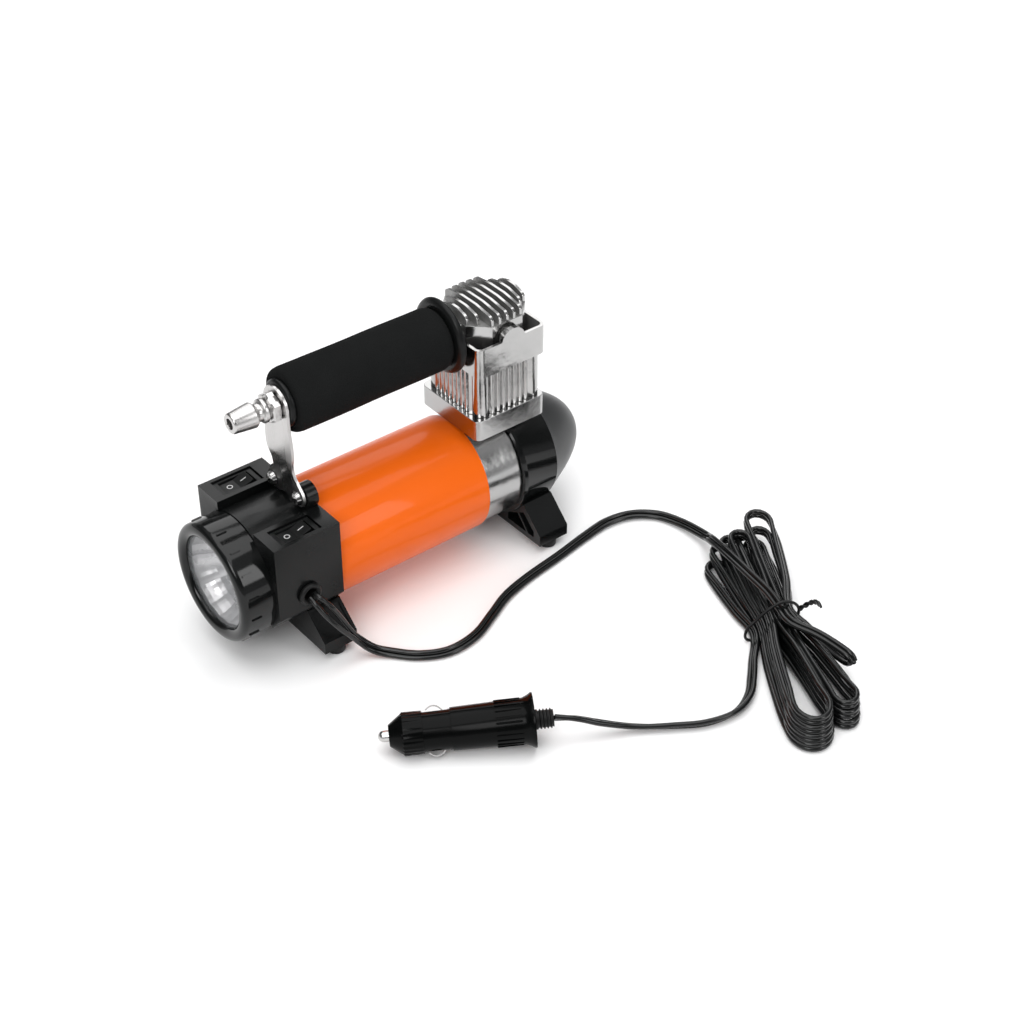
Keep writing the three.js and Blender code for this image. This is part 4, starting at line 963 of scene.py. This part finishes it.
def barrel_piece():
    half_x = (BARREL_HIGH.x - BARREL_LOW.x) / 2
    half_y = (BARREL_HIGH.y - BARREL_LOW.y) / 2
    corner_x, corner_y, column = 15.6, 17.2, 4.2
    outline = []
    for quarter in range(4):
        across = quarter % 2 == 1
        reach = half_y if across else half_x
        length = (corner_x if across else corner_y) - 3.2
        turn = Matrix.Rotation(quarter * math.pi / 2, 2)
        outline += [turn @ Vector((out, along)) for along, out in ribbed_side(length, reach)]
        centre = turn @ Vector((corner_y, corner_x) if across else (corner_x, corner_y))
        start = quarter * math.pi / 2 - 0.5
        for i in range(13):
            angle = start + (math.pi / 2 + 1.0) * i / 12
            outline.append(centre + Vector((math.cos(angle), math.sin(angle))) * column)
    bm = bmesh.new()
    low, high = BARREL_LOW.z, BARREL_HIGH.z
    rings = [[bm.verts.new(Vector((HEAD_X + p.x, p.y, z)) * MM) for p in outline] for z in (low, high)]
    for i in range(len(outline)):
        j = (i + 1) % len(outline)
        bm.faces.new((rings[0][i], rings[0][j], rings[1][j], rings[1][i]))
    for ring in rings:
        bm.faces.new(ring)
    return piece_from("ribbed_barrel", bm)


stand_in(barrel_piece(), "cylinder_barrel", chrome)
print("barrel height:", round(BARREL_HIGH.z - BARREL_LOW.z, 1), "mm")

# %% Turn the rubber feet and the gland
FOOT_PLACES = [f"rubber_foot_{end}_{side}" for end in ("front", "rear") for side in SIDES]
for node in FOOT_PLACES:
    low, high = span(node)
    centre = Vector(((low.x + high.x) / 2, (low.y + high.y) / 2, 0))
    outline = eased([(0, 0), (0, 3.9), (0.6, 4.5), (4.7, 4.8), (4.7, 2), (high.z, 2), (high.z, 0)], 0.4)
    stand_in(turned(f"{node}_fine", outline, centre=centre, axis="z", turns=40), node, rubber)
GLAND_LOW, GLAND_HIGH = span("cord_gland")
gland_centre = Vector(((GLAND_LOW.x + GLAND_HIGH.x) / 2, 0, (GLAND_LOW.z + GLAND_HIGH.z) / 2))
FACE = GLAND_LOW.y
gland_outline = eased([
    (GLAND_HIGH.y, 3.1), (GLAND_HIGH.y, 4.5), (FACE + 2.3, 4.5), (FACE + 2.3, 6.1), (FACE + 0.7, 6.1),
    (FACE, 5.3), (FACE, 4.1), (FACE + 1.6, 3.2),
], 0.5, closed=True)
gland = turned("gland_ring", gland_outline, centre=gland_centre, axis="y", turns=56, closed=True)
stand_in(gland, "cord_gland", rubber)
print("rubber feet:", len(FOOT_PLACES))

# %% [markdown]
# ## The vehicle plug
#
# The plug lies on the floor at a slant, so its pieces are built along their own straight axis and then
# placed by one matrix. Its parts differ in texture: a flared rim, raised ribs for the fingers, a smooth
# barrel, a knurled screw ring and a nickel pin.

# %% Place the plug's axis
PLUG_PLACE = (
    Matrix.Translation(Vector((-31.2, -146.2, 13.25)) * MM)
    @ Matrix.Rotation(math.radians(147.2), 4, "Z")
    @ Matrix.Rotation(math.radians(3.1), 4, "Y")
    @ Matrix.Rotation(math.radians(-46.3), 4, "X")
)
ORIGIN = Vector((0, 0, 0))


def on_plug(piece):
    piece.data.transform(PLUG_PLACE)
    return piece


def knurl(count, depth, start, end):
    """Lengthwise ribs between two stations of a turned piece."""
    def shape(along, radius, angle):
        if not start <= along <= end or radius < 6:
            return radius
        wave = math.cos(angle * count)
        return radius + depth * max(-0.6, min(0.6, wave * 1.5))
    return shape


softened("plug_body", plug_black, 0.2, segments=2, degrees=40)
ribs = bmesh.new()
RIBS = 22
for i in range(RIBS):
    verts = small_bar(ribs, (6.3 * MM, 0.55 * MM, 0.5 * MM), 0.3 * MM)
    place = Matrix.Rotation(2 * math.pi * i / RIBS, 4, "X") @ Matrix.Translation((0.0105, 0, 0.01068))
    bmesh.ops.transform(ribs, matrix=place, verts=list(verts))
plug_ribs = on_plug(piece_from("plug_ribs", ribs))
dress(plug_ribs, plug_black, BODY_OF["plug_body"], "satin_black")
# The ring's rear edge laps over the barrel's end, so that no light shows through the joint.
collar_outline = eased([
    (51.3, 3.1), (51.3, 9.5), (50.4, 9.5), (50.4, 10), (59.6, 10), (60.4, 9.4), (65.6, 5.5), (66.2, 5.1),
    (66.2, 3.1),
], 0.08, closed=True)
collar = on_plug(turned("plug_screw_ring", collar_outline, centre=ORIGIN, turns=144, closed=True,
                        shape=knurl(24, 0.3, 51.8, 59.9)))
stand_in(collar, "plug_collar", plug_black)
pin_outline = [(47.6, 0), (47.6, 4), (50.4, 4), (50.4, 2.7), (68.6, 2.7)]
pin_outline += [(68.6 + 2.7 * math.sin(a), 2.7 * math.cos(a))
                for a in (math.pi / 2 * k / 7 for k in range(1, 7))]
pin_outline.append((71.3, 0))
pin = on_plug(turned("plug_tip_pin", pin_outline, centre=ORIGIN, turns=40))
stand_in(pin, "plug_pin", steel)
for side in SIDES:
    softened(f"plug_contact_{side}", spring_steel, 0.08, segments=2)
print("plug ribs:", RIBS)

# %% Turn the ribbed strain relief
relief_outline = [(-1.8, 2.7), (-1.8, 4.7)]
for i in range(5):
    station = -2.6 - i * 1.6
    relief_outline += [(station, 4.75), (station - 0.35, 4.75), (station - 0.6, 4.05), (station - 1.2, 4.05)]
relief_outline += [(-10.4, 4.3), (-10.4, 2.7)]
relief = on_plug(turned("plug_sleeve", eased(relief_outline, 0.2, steps=2, closed=True), centre=ORIGIN,
                        turns=48, closed=True))
stand_in(relief, "plug_strain_relief", rubber)
cord_ends = [relief, collar, plug_ribs, bpy.data.objects["plug_body_fine"], pin, tie, *ends]
cord_ends += [bpy.data.objects[f"plug_contact_{side}_fine"] for side in SIDES]
print("pieces on the cord:", len(cord_ends))

# %% [markdown]
# A finer surface must never change the size of the machine.

# %% Finish
import json
